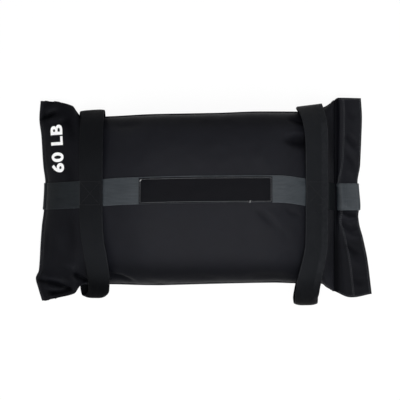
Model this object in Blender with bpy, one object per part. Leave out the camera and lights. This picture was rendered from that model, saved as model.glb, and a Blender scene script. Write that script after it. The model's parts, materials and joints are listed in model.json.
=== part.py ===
"""Sandbag trainer: a cloth bag of sand lying on its back, with webbing grips on both long sides.

Metres, +Z up. +X points to the mouth, +Y to the upper long side, and the floor is at z = 0.
The origin is the middle of the bag's outline, on the floor.
"""

import math
from bisect import bisect_right

import bmesh
import bpy
import numpy as np
from mathutils import Matrix, Vector

# Cloth bag
BODY_LENGTH = 0.5415      # from the folded end to the line where the lips start
BODY_WIDTH = 0.318        # across the filled middle
CLOTH_WIDTH = 0.372       # across the cloth where it lies flat, at both ends
BODY_HEIGHT = 0.128       # top of the filled middle, from the floor
SEAM_HEIGHT = 0.054       # height of the two long side seams
MIDDLE_Y = 0.0055         # middle line of the filled body
CLOTH = 0.0012            # thickness of the coated cloth
LAYER_GAP = 0.0006        # between two layers of cloth that lie on each other
FIT = 0.0004              # least clearance between pieces that touch
FLOOR_PRESS = 0.002       # how far the full bag would bulge below the floor it lies on

# Folded end
EAR_POINT = 0.0142        # how far the lower corner stands out past the fold
FOLD_ROOM = 0.003         # clear height inside the folded cloth
TAIL_LENGTH = 0.045       # cloth folded under the bag
FLOOR_CLEAR = 0.0005      # under the webbing of the folded tail

# Mouth
LIP_LENGTH = 0.049        # from the root of the lips to their edge, at the upper corner
LIP_SKEW = 0.0207         # how much further the lower corner of the lips reaches
HEM_WIDTH = 0.038
MOUTH_HEIGHT = 0.022      # height of the root of the lips
LIP_EDGE_HEIGHT = 0.0049  # height of the parting between the lips, at their edge
TAPE_WIDTH = 0.032
TAPE = 0.001              # thickness of the hook and of the loop tape
TAPE_END_MARGIN = 0.014   # cloth left beyond each end of the tapes

# Webbing
STRAP_WIDTH = 0.050
STRAP = 0.002             # thickness of the black girth straps
LONG_WEBBING = 0.0016     # thickness of the grey lengthwise webbing
WEBBING_GAP = 0.0005      # under webbing that lies on cloth
WEBBING_END = 0.011       # how far above the root of the lips the long webbing stops
STRAP_SPACING = 0.413     # between the middles of the two girth straps
TACK_RADIUS = 0.035       # the sewn middle of a strap ends on this circle round its pivot
TACK_GAP = 0.0008         # between a tack and the grip loops that swing round it
PIVOT_Y = 0.0148          # where the straps cross the lengthwise webbing
SWING_CLEARANCE = 0.0016  # between a swinging loop and the cloth

# Label patch
LABEL_LENGTH = 0.2425
LABEL_HEIGHT = 0.050
LABEL = 0.001
LABEL_X = 0.0037          # middle of the label
WEBBING_BOW = 0.020       # how far the webbing bows to the upper side at the label

# Filling
LINER = 0.0008            # thickness of a filler bag's cloth
LINER_MOUTH_ROOM = 0.017  # kept free beside the side seam for the mouths of the filler bags
SAND_GAP = 0.0012         # between the sand and its bag
MOUTH_NECK = 0.010        # how far a filler bag's mouth stands out
MOUTH_SLIT = 0.007        # its height after it is pressed flat
CLOSING_STRIP = 0.004     # thickness of the strip that closes it
BINDING_HEIGHT = 0.012
BINDING = 0.0018          # thickness of the bound side seam
BINDING_ROOM = 0.0036     # from the outer face of the shell to the bound seam

# Places along the body as shares of its length, from the fold to the lips
LEFT_END_SHARE = 0.40
RIGHT_END_SHARE = 0.27
BOTTOM_RIGHT_SHARE = 0.30
EDGE_FADE_SHARE = 0.11
BINDING_SHARES = (0.25, 0.84)
FILLER_SHARES = ((0.055, 0.334), (0.342, 0.664), (0.672, 0.980))

# Outline of the side seams: (place share, share of half the body's width)
UPPER_BODY_SHARES = ((0, 0.96), (0.17, 0.955), (0.22, 0.958), (0.37, 0.981), (0.59, 0.995),
                     (0.74, 1.012), (0.87, 1.013), (1, 1.01))
LOWER_BODY_SHARES = ((0, 1.0), (0.23, 1.001), (0.37, 1.009), (0.59, 0.992), (0.79, 0.980),
                     (0.87, 0.990), (1, 1.0))
# The corners that stand out: (place share, share of half the difference between cloth and body)
UPPER_EAR_SHARES = ((0, 1.07), (0.05, 1.0), (0.095, 0.74), (0.108, 0.37), (0.126, 0), (0.90, 0),
                    (0.963, 0.33), (1, 0.80))
LOWER_EAR_SHARES = ((0, 1.16), (0.05, 0.94), (0.10, 0.66), (0.123, 0.09), (0.15, 0), (0.956, 0),
                    (0.974, 0.25), (1, 0.50))
# The same corners on the lips: (share of the way to the edge, share of that difference)
UPPER_LIP_SHARES = ((0, 0.80), (0.16, 0.99), (1, 0.97))
LOWER_LIP_SHARES = ((0, 0.50), (0.45, 0.93), (1, 0.69))
# How the lips sink to the floor: (share of the way to the edge, share of the height at the root)
LIP_FALL_SHARES = ((0, 1), (0.12, 0.95), (0.30, 0.64), (0.50, 0.36), (0.75, 0.13), (1, 0))
# Edge of the fold: (place across from -1 to 1, share of EAR_POINT that it stands out)
FOLD_EDGE_SHARES = ((-1, 0.18), (-0.88, 0.67), (-0.78, 1.0), (-0.70, 0.60), (-0.40, 0.345),
                    (-0.16, 0.10), (0.15, -0.13), (0.42, 0.10), (0.64, 0.27), (0.82, 0.53), (1, 0.37))
# Edge of the lips: (place across, share of LIP_SKEW that it stands out)
LIP_EDGE_SHARES = ((-1, 1.0), (-0.66, 0.63), (-0.42, 0.21), (-0.24, -0.15), (-0.08, -0.02),
                   (0.16, -0.17), (0.35, -0.05), (0.60, 0.05), (0.82, 0.10), (1, 0))
# Middle of the lengthwise webbing: (place share, share of WEBBING_BOW from the middle line)
WEBBING_BOW_SHARES = ((0, 0.20), (0.10, 0.32), (0.28, 0.66), (0.55, 0.83), (0.80, 0.86),
                      (0.93, 0.42), (1, 0.15))
# Points across the lengthwise webbing and the label
WEBBING_SHARES = (-0.5, -0.17, 0.17, 0.5)
# Sideways shift along a grip loop: (share of the way from front to back, share of the shift)
SHIFT_SHARES = ((0, 0), (0.16, 0), (0.45, 1), (0.54, 1), (0.72, 0), (1, 0))

# Roundness of the cross-section: 2 is an ellipse, more is boxier
TOP_ROUNDNESS = (1.5, 2.5, 2.6)     # at the fold, in the middle, at the mouth
BOTTOM_ROUNDNESS = (2.2, 3.4, 2.6)

# How the filled middle rounds off towards the flat ends: powers of the curves
TOP_LEFT_CURVE = (2, 1.7)
TOP_RIGHT_CURVE = (3, 2.2)
BOTTOM_LEFT_CURVE = 0.55
BOTTOM_RIGHT_CURVE = 1.7
FILLER_CURVE = 0.5

# Grip loops: slack between the body's edge and the loop, sideways shift of the loop, swing in degrees
GRIPS = {
    "left_upper_grip": {"strap": -1, "side": 1, "slack": 0.0115, "shift": 0.0, "swing": (-6, 0)},
    "left_lower_grip": {"strap": -1, "side": -1, "slack": 0.0240, "shift": 0.0095, "swing": (-3, 6)},
    "right_upper_grip": {"strap": 1, "side": 1, "slack": 0.0118, "shift": -0.0100, "swing": (0, 6)},
    "right_lower_grip": {"strap": 1, "side": -1, "slack": 0.0375, "shift": -0.0170, "swing": (-6, 0)},
}
LIFT_STEP = 0.0004        # step in which a loop is lifted clear of the cloth
LIFT_MOST = 0.016
LIFT_REACH = 5            # stations over which a loop's lift is evened out
SWING_STEPS = 5

# Counts and finish
SHARP_ANGLE = 50          # edges sharper than this, in degrees, stay crisp
END_CROWDING = 0.55       # how strongly the body's rows crowd towards its ends, from 0 to 1
LIP_SLOPE_STEP = 0.02     # share of the way over which a lip's slope is taken
CUTTER_SIDES = 64
CUTTER_HEIGHTS = 3        # height of a cutter in bag heights
TACK_OVERRUN = 1.2        # length of a tack before its ends are cut round, in radii
TACK_ROWS = 8
LABEL_ROWS = 12
BODY_ROWS = 25
FOLD_ROWS = 6
TAIL_ROWS = 3
COLUMNS = 20
LIP_ROWS = 7
TAPE_ROWS = 5
GRIP_ROWS = 34
FILLER_ROWS = 9
FILLER_COLUMNS = 18
MOUTH_ROWS = (1, 5)       # rows of a filler bag between which its mouth is cut

# Sizes worked out from the ones above
BACK_FOLD_INNER = FOLD_ROOM / 2
BACK_FOLD_OUTER = BACK_FOLD_INNER + CLOTH
FRONT_FOLD_INNER = BACK_FOLD_OUTER + LAYER_GAP
FRONT_FOLD_OUTER = FRONT_FOLD_INNER + CLOTH
WEBBING_FOLD_INNER = FRONT_FOLD_OUTER + WEBBING_GAP
FOLD_Z = FLOOR_CLEAR + WEBBING_FOLD_INNER + LONG_WEBBING
FOLD_SEAM_Z = FOLD_Z + BACK_FOLD_OUTER + LAYER_GAP / 2
TOTAL_LENGTH = EAR_POINT + BODY_LENGTH + LIP_LENGTH + LIP_SKEW
FOLD_X = EAR_POINT - TOTAL_LENGTH / 2
ROOT_X = FOLD_X + BODY_LENGTH
FOLD_CENTRE_X = FOLD_X + FRONT_FOLD_OUTER
HALF_BODY = BODY_WIDTH / 2
EAR = (CLOTH_WIDTH - BODY_WIDTH) / 2
LAYER = LAYER_GAP / 2 + CLOTH
RISE = BODY_HEIGHT - SEAM_HEIGHT
ROOT_Z = MOUTH_HEIGHT + LAYER
STRAP_X = STRAP_SPACING / 2
ON_WEBBING = WEBBING_GAP + LONG_WEBBING + FIT
HALF_TAPES = LAYER_GAP / 2 + TAPE + FIT
LINER_INSET = BINDING_ROOM + BINDING + 2 * FIT


# Small tools

def clamp(value, low=0.0, high=1.0):
    return min(max(value, low), high)


def ease(share):
    share = clamp(share)
    return share * share * (3 - 2 * share)


def mix(first, second, share):
    return first + (second - first) * share


def follow(table, place):
    """The value at a place on the smooth curve through a table's points, with no overshoot."""
    places = [point[0] for point in table]
    values = [point[1] for point in table]
    place = clamp(place, places[0], places[-1])
    slopes = [(values[i + 1] - values[i]) / (places[i + 1] - places[i]) for i in range(len(table) - 1)]
    tangents = [slopes[0]]
    for before, after in zip(slopes, slopes[1:]):
        tangents.append(2 * before * after / (before + after) if before * after > 0 else 0.0)
    tangents.append(slopes[-1])
    i = min(max(bisect_right(places, place) - 1, 0), len(table) - 2)
    width = places[i + 1] - places[i]
    t = (place - places[i]) / width
    rest = 1 - t
    return (values[i] * (1 + 2 * t) * rest * rest + tangents[i] * width * t * rest * rest
            + values[i + 1] * t * t * (3 - 2 * t) - tangents[i + 1] * width * t * t * rest)


def three_way(sizes, place):
    """Goes from the first size at the fold over the second in the middle to the third at the mouth."""
    left = ease(place / LEFT_END_SHARE)
    right = ease((1 - place) / RIGHT_END_SHARE)
    return mix(sizes[0], sizes[1], left) + mix(sizes[2], sizes[1], right) - sizes[1]


def even_points(points, count):
    """The polyline's points spread again at even steps along it."""
    points = np.asarray(points, float)
    steps = np.linalg.norm(np.diff(points, axis=0), axis=1)
    along = np.concatenate([[0], np.cumsum(steps)])
    places = np.linspace(0, along[-1], count)
    return np.stack([np.interp(places, along, points[:, k]) for k in range(points.shape[1])], axis=1)


# Shape of the filled bag

def place_of(x):
    return clamp((x - FOLD_CENTRE_X) / (ROOT_X - FOLD_CENTRE_X))


def upper_seam_y(place, ears=1.0):
    return (MIDDLE_Y + HALF_BODY * follow(UPPER_BODY_SHARES, place)
            + ears * EAR * follow(UPPER_EAR_SHARES, place))


def lower_seam_y(place, ears=1.0):
    return (MIDDLE_Y - HALF_BODY * follow(LOWER_BODY_SHARES, place)
            - ears * EAR * follow(LOWER_EAR_SHARES, place))


def end_cap(share, curve):
    return (1 - (1 - clamp(share)) ** curve[0]) ** (1 / curve[1])


def seam_z(place):
    return three_way((FOLD_SEAM_Z, SEAM_HEIGHT, MOUTH_HEIGHT), place)


def rise(place):
    left = end_cap(place / LEFT_END_SHARE, TOP_LEFT_CURVE)
    right = end_cap((1 - place) / RIGHT_END_SHARE, TOP_RIGHT_CURVE)
    return mix(LAYER, RISE, left * right)


def bottom_z(place):
    left = (1 - clamp(place / LEFT_END_SHARE)) ** BOTTOM_LEFT_CURVE
    right = (1 - clamp((1 - place) / BOTTOM_RIGHT_SHARE)) ** BOTTOM_RIGHT_CURVE
    return (-FLOOR_PRESS + (FOLD_SEAM_Z - LAYER + FLOOR_PRESS) * left
            + (MOUTH_HEIGHT - LAYER + FLOOR_PRESS) * right)


def drop(place):
    return seam_z(place) - bottom_z(place)


def half_width(place, y, ears=1.0):
    edge = upper_seam_y(place, ears) if y >= MIDDLE_Y else lower_seam_y(place, ears)
    return abs(edge - MIDDLE_Y)


def top_surface_z(x, y):
    """Height of the outer face of the front panel."""
    place = place_of(x)
    roundness = three_way(TOP_ROUNDNESS, place)
    share = clamp(abs(y - MIDDLE_Y) / half_width(place, y))
    return seam_z(place) + rise(place) * (1 - share ** roundness) ** (1 / roundness)


def bottom_surface_z(x, y):
    """Height of the outer face of the back panel."""
    place = place_of(x)
    roundness = three_way(BOTTOM_ROUNDNESS, place)
    share = clamp(abs(y - MIDDLE_Y) / half_width(place, y))
    return max(seam_z(place) - drop(place) * (1 - share ** roundness) ** (1 / roundness), 0.0)


def outward(surface, x, y, up):
    """Unit normal of a surface given by its height, pointing up or down."""
    step = CLOTH
    slope_x = (surface(x + step, y) - surface(x - step, y)) / (2 * step)
    slope_y = (surface(x, y + step) - surface(x, y - step)) / (2 * step)
    return Vector((-slope_x, -slope_y, 1)).normalized() * up


def on_surface(surface, x, y, offset, up=1):
    return Vector((x, y, surface(x, y))) + outward(surface, x, y, up) * offset


def depth_outside(x, y, z):
    """Rough distance of a point outside the filled body, along the ray from the section's middle."""
    place = place_of(x)
    above = z >= seam_z(place)
    height = rise(place) if above else drop(place)
    roundness = three_way(TOP_ROUNDNESS if above else BOTTOM_ROUNDNESS, place)
    across = (y - MIDDLE_Y) / half_width(place, y)
    upright = (z - seam_z(place)) / height
    level = (abs(across) ** roundness + abs(upright) ** roundness) ** (1 / roundness)
    return (level - 1) / max(level, FIT) * math.hypot(y - MIDDLE_Y, z - seam_z(place))


def section_row(place, side, count):
    """Evenly spread points of half a cross-section, from the lower seam to the upper one."""
    top = side > 0
    roundness = three_way(TOP_ROUNDNESS if top else BOTTOM_ROUNDNESS, place)
    height = rise(place) if top else drop(place)
    parting = side * LAYER_GAP / 4
    points = []
    for step in range(8 * count + 1):
        angle = math.pi * (1 - step / (8 * count))
        across = math.copysign(abs(math.cos(angle)) ** (2 / roundness), math.cos(angle))
        y = MIDDLE_Y + across * half_width(place, MIDDLE_Y + across)
        z = seam_z(place) + parting + side * (height - LAYER_GAP / 4) * math.sin(angle) ** (2 / roundness)
        points.append((y, max(z, 0.0)))
    row = even_points(points, count + 1)
    level = seam_z(place) + parting
    for _ in range(3):
        for k in range(count + 1):
            step_y, step_z = row[min(k + 1, count)] - row[max(k - 1, 0)]
            least = CLOTH * abs(step_y) / math.hypot(step_y, step_z)
            row[k][1] = level + side * max(side * (row[k][1] - level), least)
    return row


def across_share(place, y):
    return math.copysign(abs(y - MIDDLE_Y) / half_width(place, y), y - MIDDLE_Y)


def fold_edge_shift(place, y):
    fade = 1 - ease(place / EDGE_FADE_SHARE)
    return -EAR_POINT * follow(FOLD_EDGE_SHARES, across_share(place, y)) * fade


# Making objects

def colour(name, red, green, blue, roughness, metallic=0.0):
    made = bpy.data.materials.new(name)
    made.use_nodes = True
    shader = made.node_tree.nodes["Principled BSDF"]
    shader.inputs["Base Color"].default_value = (red, green, blue, 1)
    shader.inputs["Roughness"].default_value = roughness
    shader.inputs["Metallic"].default_value = metallic
    return made


def new_object(name, mesh, material):
    made = bpy.data.objects.new(name, mesh)
    bpy.context.scene.collection.objects.link(made)
    made.data.materials.append(material)
    made.data.shade_smooth()
    made.data.set_sharp_from_angle(angle=math.radians(SHARP_ANGLE))
    return made


def grid_mesh(name, rows, facing):
    """A sheet through rows of points, its faces turned towards the facing direction at the middle."""
    mesh = bpy.data.meshes.new(name)
    build = bmesh.new()
    lattice = [[build.verts.new(point) for point in row] for row in rows]
    for row, after in zip(lattice, lattice[1:]):
        for k in range(len(row) - 1):
            build.faces.new((row[k], row[k + 1], after[k + 1], after[k]))
    build.normal_update()
    if sum((face.normal.dot(Vector(facing(face.calc_center_median()))) for face in build.faces)) < 0:
        bmesh.ops.reverse_faces(build, faces=build.faces)
    build.to_mesh(mesh)
    build.free()
    return mesh


def sheet(name, rows, thickness, material, facing, side=-1):
    """Cloth or webbing: a sheet of points made solid on its inner side (-1) or outer side (1)."""
    made = new_object(name, grid_mesh(name, rows, facing), material)
    solid = made.modifiers.new("thickness", "SOLIDIFY")
    solid.thickness = thickness
    solid.offset = side
    solid.use_rim = True
    return made


def away_from_middle(point):
    return (0, point[1] - MIDDLE_Y, point[2] - SEAM_HEIGHT)


def upwards(point):
    return (0, 0, 1)


def downwards(point):
    return (0, 0, -1)


def cylinder_cutter(name, x, radius):
    """A tall hidden cylinder round a strap's pivot."""
    mesh = bpy.data.meshes.new(name)
    build = bmesh.new()
    bmesh.ops.create_cone(build, cap_ends=True, segments=CUTTER_SIDES, radius1=radius, radius2=radius,
                          depth=CUTTER_HEIGHTS * BODY_HEIGHT)
    build.to_mesh(mesh)
    build.free()
    cutter = bpy.data.objects.new(name, mesh)
    bpy.context.scene.collection.objects.link(cutter)
    cutter.location = (x, PIVOT_Y, SEAM_HEIGHT)
    cutter.hide_render = True
    cutter.display_type = "WIRE"
    return cutter


def cut(made, cutter, operation):
    step = made.modifiers.new("round end", "BOOLEAN")
    step.operation = operation
    step.object = cutter
    step.solver = "EXACT"


def hang_on(made, pivot):
    """Puts the object's origin on its joint's axis and leaves its shape where it is."""
    made.data.transform(Matrix.Translation(-Vector(pivot)))
    made.location = pivot


# Shell

def body_places():
    """Places along the body, closer together where its ends turn down."""
    shares = [i / (BODY_ROWS - 1) for i in range(BODY_ROWS)]
    return [mix(share, (1 - math.cos(math.pi * share)) / 2, END_CROWDING) for share in shares]


def panel_rows(side, columns):
    """Rows of a panel from the mouth over the body, round the fold and along the tail under it."""
    rows = []
    for place in reversed(body_places()):
        x = mix(FOLD_CENTRE_X, ROOT_X, place)
        rows.append([(x + fold_edge_shift(place, y), y, z) for y, z in section_row(place, side, columns)])
    edge = rows[-1]
    for i in range(1, FOLD_ROWS + 1):
        angle = math.pi * (0.5 + i / FOLD_ROWS)
        rows.append([(x + (z - FOLD_Z) * math.cos(angle), y, FOLD_Z + (z - FOLD_Z) * math.sin(angle))
                     for x, y, z in edge])
    for i in range(1, TAIL_ROWS + 1):
        rows.append([(x + TAIL_LENGTH * i / TAIL_ROWS, y, 2 * FOLD_Z - z) for x, y, z in edge])
    return rows


def body_facing(point):
    return away_from_middle(point) if point[0] > FOLD_X + EAR_POINT else (0, 0, 0)


def make_panels(cloth):
    sheet("front_panel", panel_rows(1, COLUMNS), CLOTH, cloth, body_facing)
    sheet("back_panel", panel_rows(-1, COLUMNS), CLOTH, cloth, body_facing)


def make_seam_binding(name, edge, side, tape):
    """The bound seam allowance, pressed flat against the inside of the shell by the filling."""
    rows = []
    first, last = BINDING_SHARES
    count = BODY_ROWS // 2
    for i in range(count + 1):
        place = mix(first, last, i / count)
        y = edge(place, 0) - side * BINDING_ROOM
        x = mix(FOLD_CENTRE_X, ROOT_X, place)
        middle = seam_z(place)
        rows.append([(x, y, middle - BINDING_HEIGHT / 2), (x, y, middle + BINDING_HEIGHT / 2)])
    sheet(name, rows, BINDING, tape, lambda point: (0, side, 0))


# Mouth

def lip_point(v, t):
    """A place on the parting between the lips: v from root to edge, t across from -1 to 1."""
    edge_x = ROOT_X + LIP_LENGTH + LIP_SKEW * follow(LIP_EDGE_SHARES, t)
    upper = upper_seam_y(1, 0) + EAR * follow(UPPER_LIP_SHARES, v)
    lower = lower_seam_y(1, 0) - EAR * follow(LOWER_LIP_SHARES, v)
    y = MIDDLE_Y + (t * (upper - MIDDLE_Y) if t >= 0 else -t * (lower - MIDDLE_Y))
    x = mix(ROOT_X + FIT, edge_x, v)
    return x, y, mix(LIP_EDGE_HEIGHT, MOUTH_HEIGHT, follow(LIP_FALL_SHARES, v))


def lip_face(v, t, off):
    """A place off the parting by a distance square to it, above the parting or below it."""
    x, y, z = lip_point(v, t)
    before = lip_point(max(v - LIP_SLOPE_STEP, 0), t)
    after = lip_point(min(v + LIP_SLOPE_STEP, 1), t)
    along = math.hypot(after[0] - before[0], after[2] - before[2])
    return x - off * (after[2] - before[2]) / along, y, z + off * (after[0] - before[0]) / along


def hem_start(t):
    """The share of the way to the edge where the hem starts."""
    return 1 - HEM_WIDTH / (LIP_LENGTH + LIP_SKEW * follow(LIP_EDGE_SHARES, t))


def hem_share(v, t):
    start = hem_start(t)
    return ease((v - start / 2) / (start / 2))


def lip_row_share(i, t):
    """The share of the way to the edge of a lip's row: two rows before the hem, the rest on it."""
    start = hem_start(t)
    return start / 2 * i if i < 3 else mix(start, 1, (i - 2) / (LIP_ROWS - 2))


def lip_rows(side, columns):
    """Outer face of a lip, which stands off the parting more where the hem and a tape lie inside."""
    rows = []
    for i in range(LIP_ROWS + 1):
        row = []
        for j in range(columns + 1):
            t = 2 * j / columns - 1
            v = lip_row_share(i, t)
            off = mix(LAYER, HALF_TAPES + 2 * CLOTH, hem_share(v, t))
            row.append(lip_face(v, t, side * off))
        rows.append(row)
    return rows


def make_lip(name, side, columns, cloth):
    """A lip of the mouth, twice as thick where its hem is turned in."""
    made = sheet(name, lip_rows(side, columns), 2 * CLOTH, cloth, upwards if side > 0 else downwards)
    hem = made.vertex_groups.new(name="hem")
    for i in range(LIP_ROWS + 1):
        for j in range(columns + 1):
            hem.add([i * (columns + 1) + j], 1.0 if i >= 2 else 0.0, "REPLACE")
    solid = made.modifiers["thickness"]
    solid.vertex_group = "hem"
    solid.thickness_vertex_group = 0.5
    return made


def tape_rows(side, columns):
    """The face of a tape towards the other one, on the hem's band."""
    rows = []
    for i in range(TAPE_ROWS + 1):
        row = []
        for j in range(columns + 1):
            reach = upper_seam_y(1) - MIDDLE_Y
            t = (2 * j / columns - 1) * (1 - TAPE_END_MARGIN / reach)
            length = LIP_LENGTH + LIP_SKEW * follow(LIP_EDGE_SHARES, t)
            margin = (HEM_WIDTH - TAPE_WIDTH) / 2 / length
            v = 1 - margin - TAPE_WIDTH / length * (1 - i / TAPE_ROWS)
            row.append(lip_face(v, t, side * LAYER_GAP / 4))
        rows.append(row)
    return rows


def make_mouth(cloth, hook, loop):
    made = [
        make_lip("front_lip", 1, COLUMNS, cloth),
        make_lip("back_lip", -1, COLUMNS, cloth),
        sheet("loop_tape", tape_rows(1, COLUMNS), TAPE, loop, downwards),
        sheet("hook_tape", tape_rows(-1, COLUMNS), TAPE, hook, upwards),
    ]
    for piece in made:
        hang_on(piece, (ROOT_X, 0, ROOT_Z))


# Lengthwise webbing and label

def webbing_y(place):
    return MIDDLE_Y + WEBBING_BOW * follow(WEBBING_BOW_SHARES, place)


def row_at_height(low, high, height):
    """The row between two others where the lines that join them reach a height."""
    row = []
    for first, second in zip(low, high):
        share = (height - first[2]) / (second[2] - first[2])
        row.append(tuple(mix(a, b, share) for a, b in zip(first, second)))
    return row


def make_long_webbing(webbing):
    """One length of webbing on the front panel, round the fold and under the tail."""
    rows = []
    for place in reversed(body_places()[1:]):
        x = mix(FOLD_CENTRE_X, ROOT_X, place)
        row = []
        for share in WEBBING_SHARES:
            y = webbing_y(place) + share * STRAP_WIDTH
            shift = fold_edge_shift(place, y)
            spot = on_surface(top_surface_z, x, y, WEBBING_GAP)
            row.append((spot.x + shift, y, spot.z))
        rows.append(row)
    rows[0] = row_at_height(rows[0], rows[1], ROOT_Z + WEBBING_END)
    for i in range(FOLD_ROWS + 1):
        angle = math.pi * (0.5 + i / FOLD_ROWS)
        row = []
        for share in WEBBING_SHARES:
            y = webbing_y(0) + share * STRAP_WIDTH
            x = FOLD_CENTRE_X + fold_edge_shift(0, y)
            z = FOLD_Z + WEBBING_FOLD_INNER * math.sin(angle)
            row.append((x + WEBBING_FOLD_INNER * math.cos(angle), y, z))
        rows.append(row)
    under = [(x + TAIL_LENGTH, y, z) for x, y, z in rows[-1]]
    rows.append(under)
    sheet("long_webbing", rows, LONG_WEBBING, webbing, body_facing, side=1)


def make_mouth_webbing(webbing):
    """The webbing's last stretch, on the front lip and turned down over its edge."""
    rows = []
    for i in range(1, LIP_ROWS + 1):
        row = []
        for share in WEBBING_SHARES:
            y = webbing_y(1) + share * STRAP_WIDTH
            across = (y - MIDDLE_Y) / (upper_seam_y(1) - MIDDLE_Y)
            v = lip_row_share(i, across)
            off = mix(LAYER, HALF_TAPES + 2 * CLOTH, hem_share(v, across)) + 2 * WEBBING_GAP
            x, _, z = lip_face(v, across, off)
            row.append((x, y, z))
        rows.append(row)
    rows[-1] = [(x + 2 * WEBBING_GAP, y, z) for x, y, z in rows[-1]]
    rows.append([(x, y, z - 2 * CLOTH - WEBBING_GAP) for x, y, z in rows[-1]])
    made = sheet("mouth_webbing", rows, LONG_WEBBING, webbing, upwards, side=1)
    hang_on(made, (ROOT_X, 0, ROOT_Z))


def make_label(woven):
    rows = []
    for i in range(LABEL_ROWS + 1):
        x = LABEL_X + LABEL_LENGTH * (i / LABEL_ROWS - 0.5)
        place = place_of(x)
        rows.append([on_surface(top_surface_z, x, webbing_y(place) + share * LABEL_HEIGHT, ON_WEBBING + FIT)
                     for share in WEBBING_SHARES])
    sheet("label_patch", rows, LABEL, woven, upwards, side=1)


# Girth straps

def swing_points(x, y, z, pivot_x, swing):
    """Where a point of a grip loop goes as the loop swings about its upright pivot."""
    for i in range(SWING_STEPS + 1):
        angle = math.radians(mix(swing[0], swing[1], i / SWING_STEPS))
        over, along = x - pivot_x, y - PIVOT_Y
        yield (pivot_x + over * math.cos(angle) - along * math.sin(angle),
               PIVOT_Y + over * math.sin(angle) + along * math.cos(angle), z)


def strap_point(x, side, reach, angle, lift):
    """A point of the strap's inner face: angle 90 degrees is on top of the bag, -90 under it."""
    place = place_of(x)
    top = angle >= 0
    roundness = three_way(TOP_ROUNDNESS if top else BOTTOM_ROUNDNESS, place)
    height = rise(place) + ON_WEBBING if top else drop(place) + FIT
    across = (reach + lift) * abs(math.cos(angle)) ** (2 / roundness)
    upright = math.copysign((height + lift) * abs(math.sin(angle)) ** (2 / roundness), angle)
    return MIDDLE_Y + side * across, seam_z(place) + upright


def grip_reach(pivot_x, side, slack):
    """From the middle line to the inside of a loop: the widest cloth it passes, and its slack."""
    places = [place_of(pivot_x + share * STRAP_WIDTH) for share in (-0.5, 0, 0.5)]
    return max(half_width(place, MIDDLE_Y + side, 0) for place in places) + slack


def grip_edges(grip):
    """The two edges of a loop's inner face, lifted until every swing position clears the cloth."""
    pivot_x = grip["strap"] * STRAP_X
    reach = grip_reach(pivot_x, grip["side"], grip["slack"])
    angles = [math.pi * (0.5 - i / (4 * GRIP_ROWS)) for i in range(4 * GRIP_ROWS + 1)]
    stations = []
    for i, angle in enumerate(angles):
        middle = pivot_x + grip["shift"] * follow(SHIFT_SHARES, i / (4 * GRIP_ROWS))
        lift = 0.0
        while lift < LIFT_MOST:
            edges = []
            _, low = strap_point(middle - STRAP_WIDTH / 2, grip["side"], reach, angle, lift)
            _, high = strap_point(middle + STRAP_WIDTH / 2, grip["side"], reach, angle, lift)
            half = STRAP_WIDTH / 2 * math.cos(math.atan2(abs(high - low), STRAP_WIDTH))
            for share in (-1, 0, 1):
                x = middle + share * half
                y, z = strap_point(x, grip["side"], reach, angle, lift)
                edges.append((x, y, z))
            least = min(depth_outside(*spot) for edge in edges
                        for spot in swing_points(*edge, pivot_x, grip["swing"]))
            if least >= SWING_CLEARANCE:
                break
            lift += LIFT_STEP
        stations.append((middle, angle, lift))
    return pivot_x, reach, stations


def smooth_lifts(lifts, reach):
    """Widens each lift over its neighbours, then averages, so that the loop has no kinks."""
    count = len(lifts)
    widest = [max(lifts[max(0, i - reach):i + reach + 1]) for i in range(count)]
    return [sum(widest[max(0, i - reach):i + reach + 1]) / len(widest[max(0, i - reach):i + reach + 1])
            for i in range(count)]


def make_grip(name, grip, strap):
    pivot_x, reach, stations = grip_edges(grip)
    lifts = smooth_lifts([lift for _, _, lift in stations], LIFT_REACH)
    path = []
    for (middle, angle, _), lift in zip(stations, lifts):
        _, low = strap_point(middle - STRAP_WIDTH / 2, grip["side"], reach, angle, lift)
        _, high = strap_point(middle + STRAP_WIDTH / 2, grip["side"], reach, angle, lift)
        half = STRAP_WIDTH / 2 * math.cos(math.atan2(abs(high - low), STRAP_WIDTH))
        row = []
        for share in (-1, 0, 1):
            x = middle + share * half
            y, z = strap_point(x, grip["side"], reach, angle, lift)
            row.extend((x, y, z))
        path.append(row)
    rows = [[row[0:3], row[3:6], row[6:9]] for row in even_points(path, GRIP_ROWS + 1)]
    made = sheet(name, rows, STRAP, strap, away_from_middle, side=1)
    cut(made, cylinder_cutter(name + "_cutter", pivot_x, TACK_RADIUS), "DIFFERENCE")
    return made


def make_tack(name, strap_sign, surface, offset, up, strap):
    """The sewn middle of a girth strap, with round ends that the grip loops swing past."""
    pivot_x = strap_sign * STRAP_X
    slope = (surface(pivot_x + STRAP_WIDTH / 2, PIVOT_Y) - surface(pivot_x - STRAP_WIDTH / 2, PIVOT_Y))
    half = STRAP_WIDTH / 2 * math.cos(math.atan2(abs(slope), STRAP_WIDTH))
    rows = []
    for i in range(TACK_ROWS + 1):
        y = PIVOT_Y + TACK_OVERRUN * TACK_RADIUS * (2 * i / TACK_ROWS - 1)
        rows.append([on_surface(surface, pivot_x + share * half, y, offset, up)
                     for share in (-1, -0.5, 0, 0.5, 1)])
    made = sheet(name, rows, STRAP, strap, upwards if up > 0 else downwards, side=1)
    cut(made, cylinder_cutter(name + "_cutter", pivot_x, TACK_RADIUS - TACK_GAP), "INTERSECT")


def make_straps(strap):
    for word, sign in (("left", -1), ("right", 1)):
        make_tack(word + "_front_tack", sign, top_surface_z, ON_WEBBING + FIT, 1, strap)
        make_tack(word + "_back_tack", sign, bottom_surface_z, FIT, -1, strap)
    for name, grip in GRIPS.items():
        made = make_grip(name, grip, strap)
        hang_on(made, (grip["strap"] * STRAP_X, PIVOT_Y, 0))


# Filling

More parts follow.
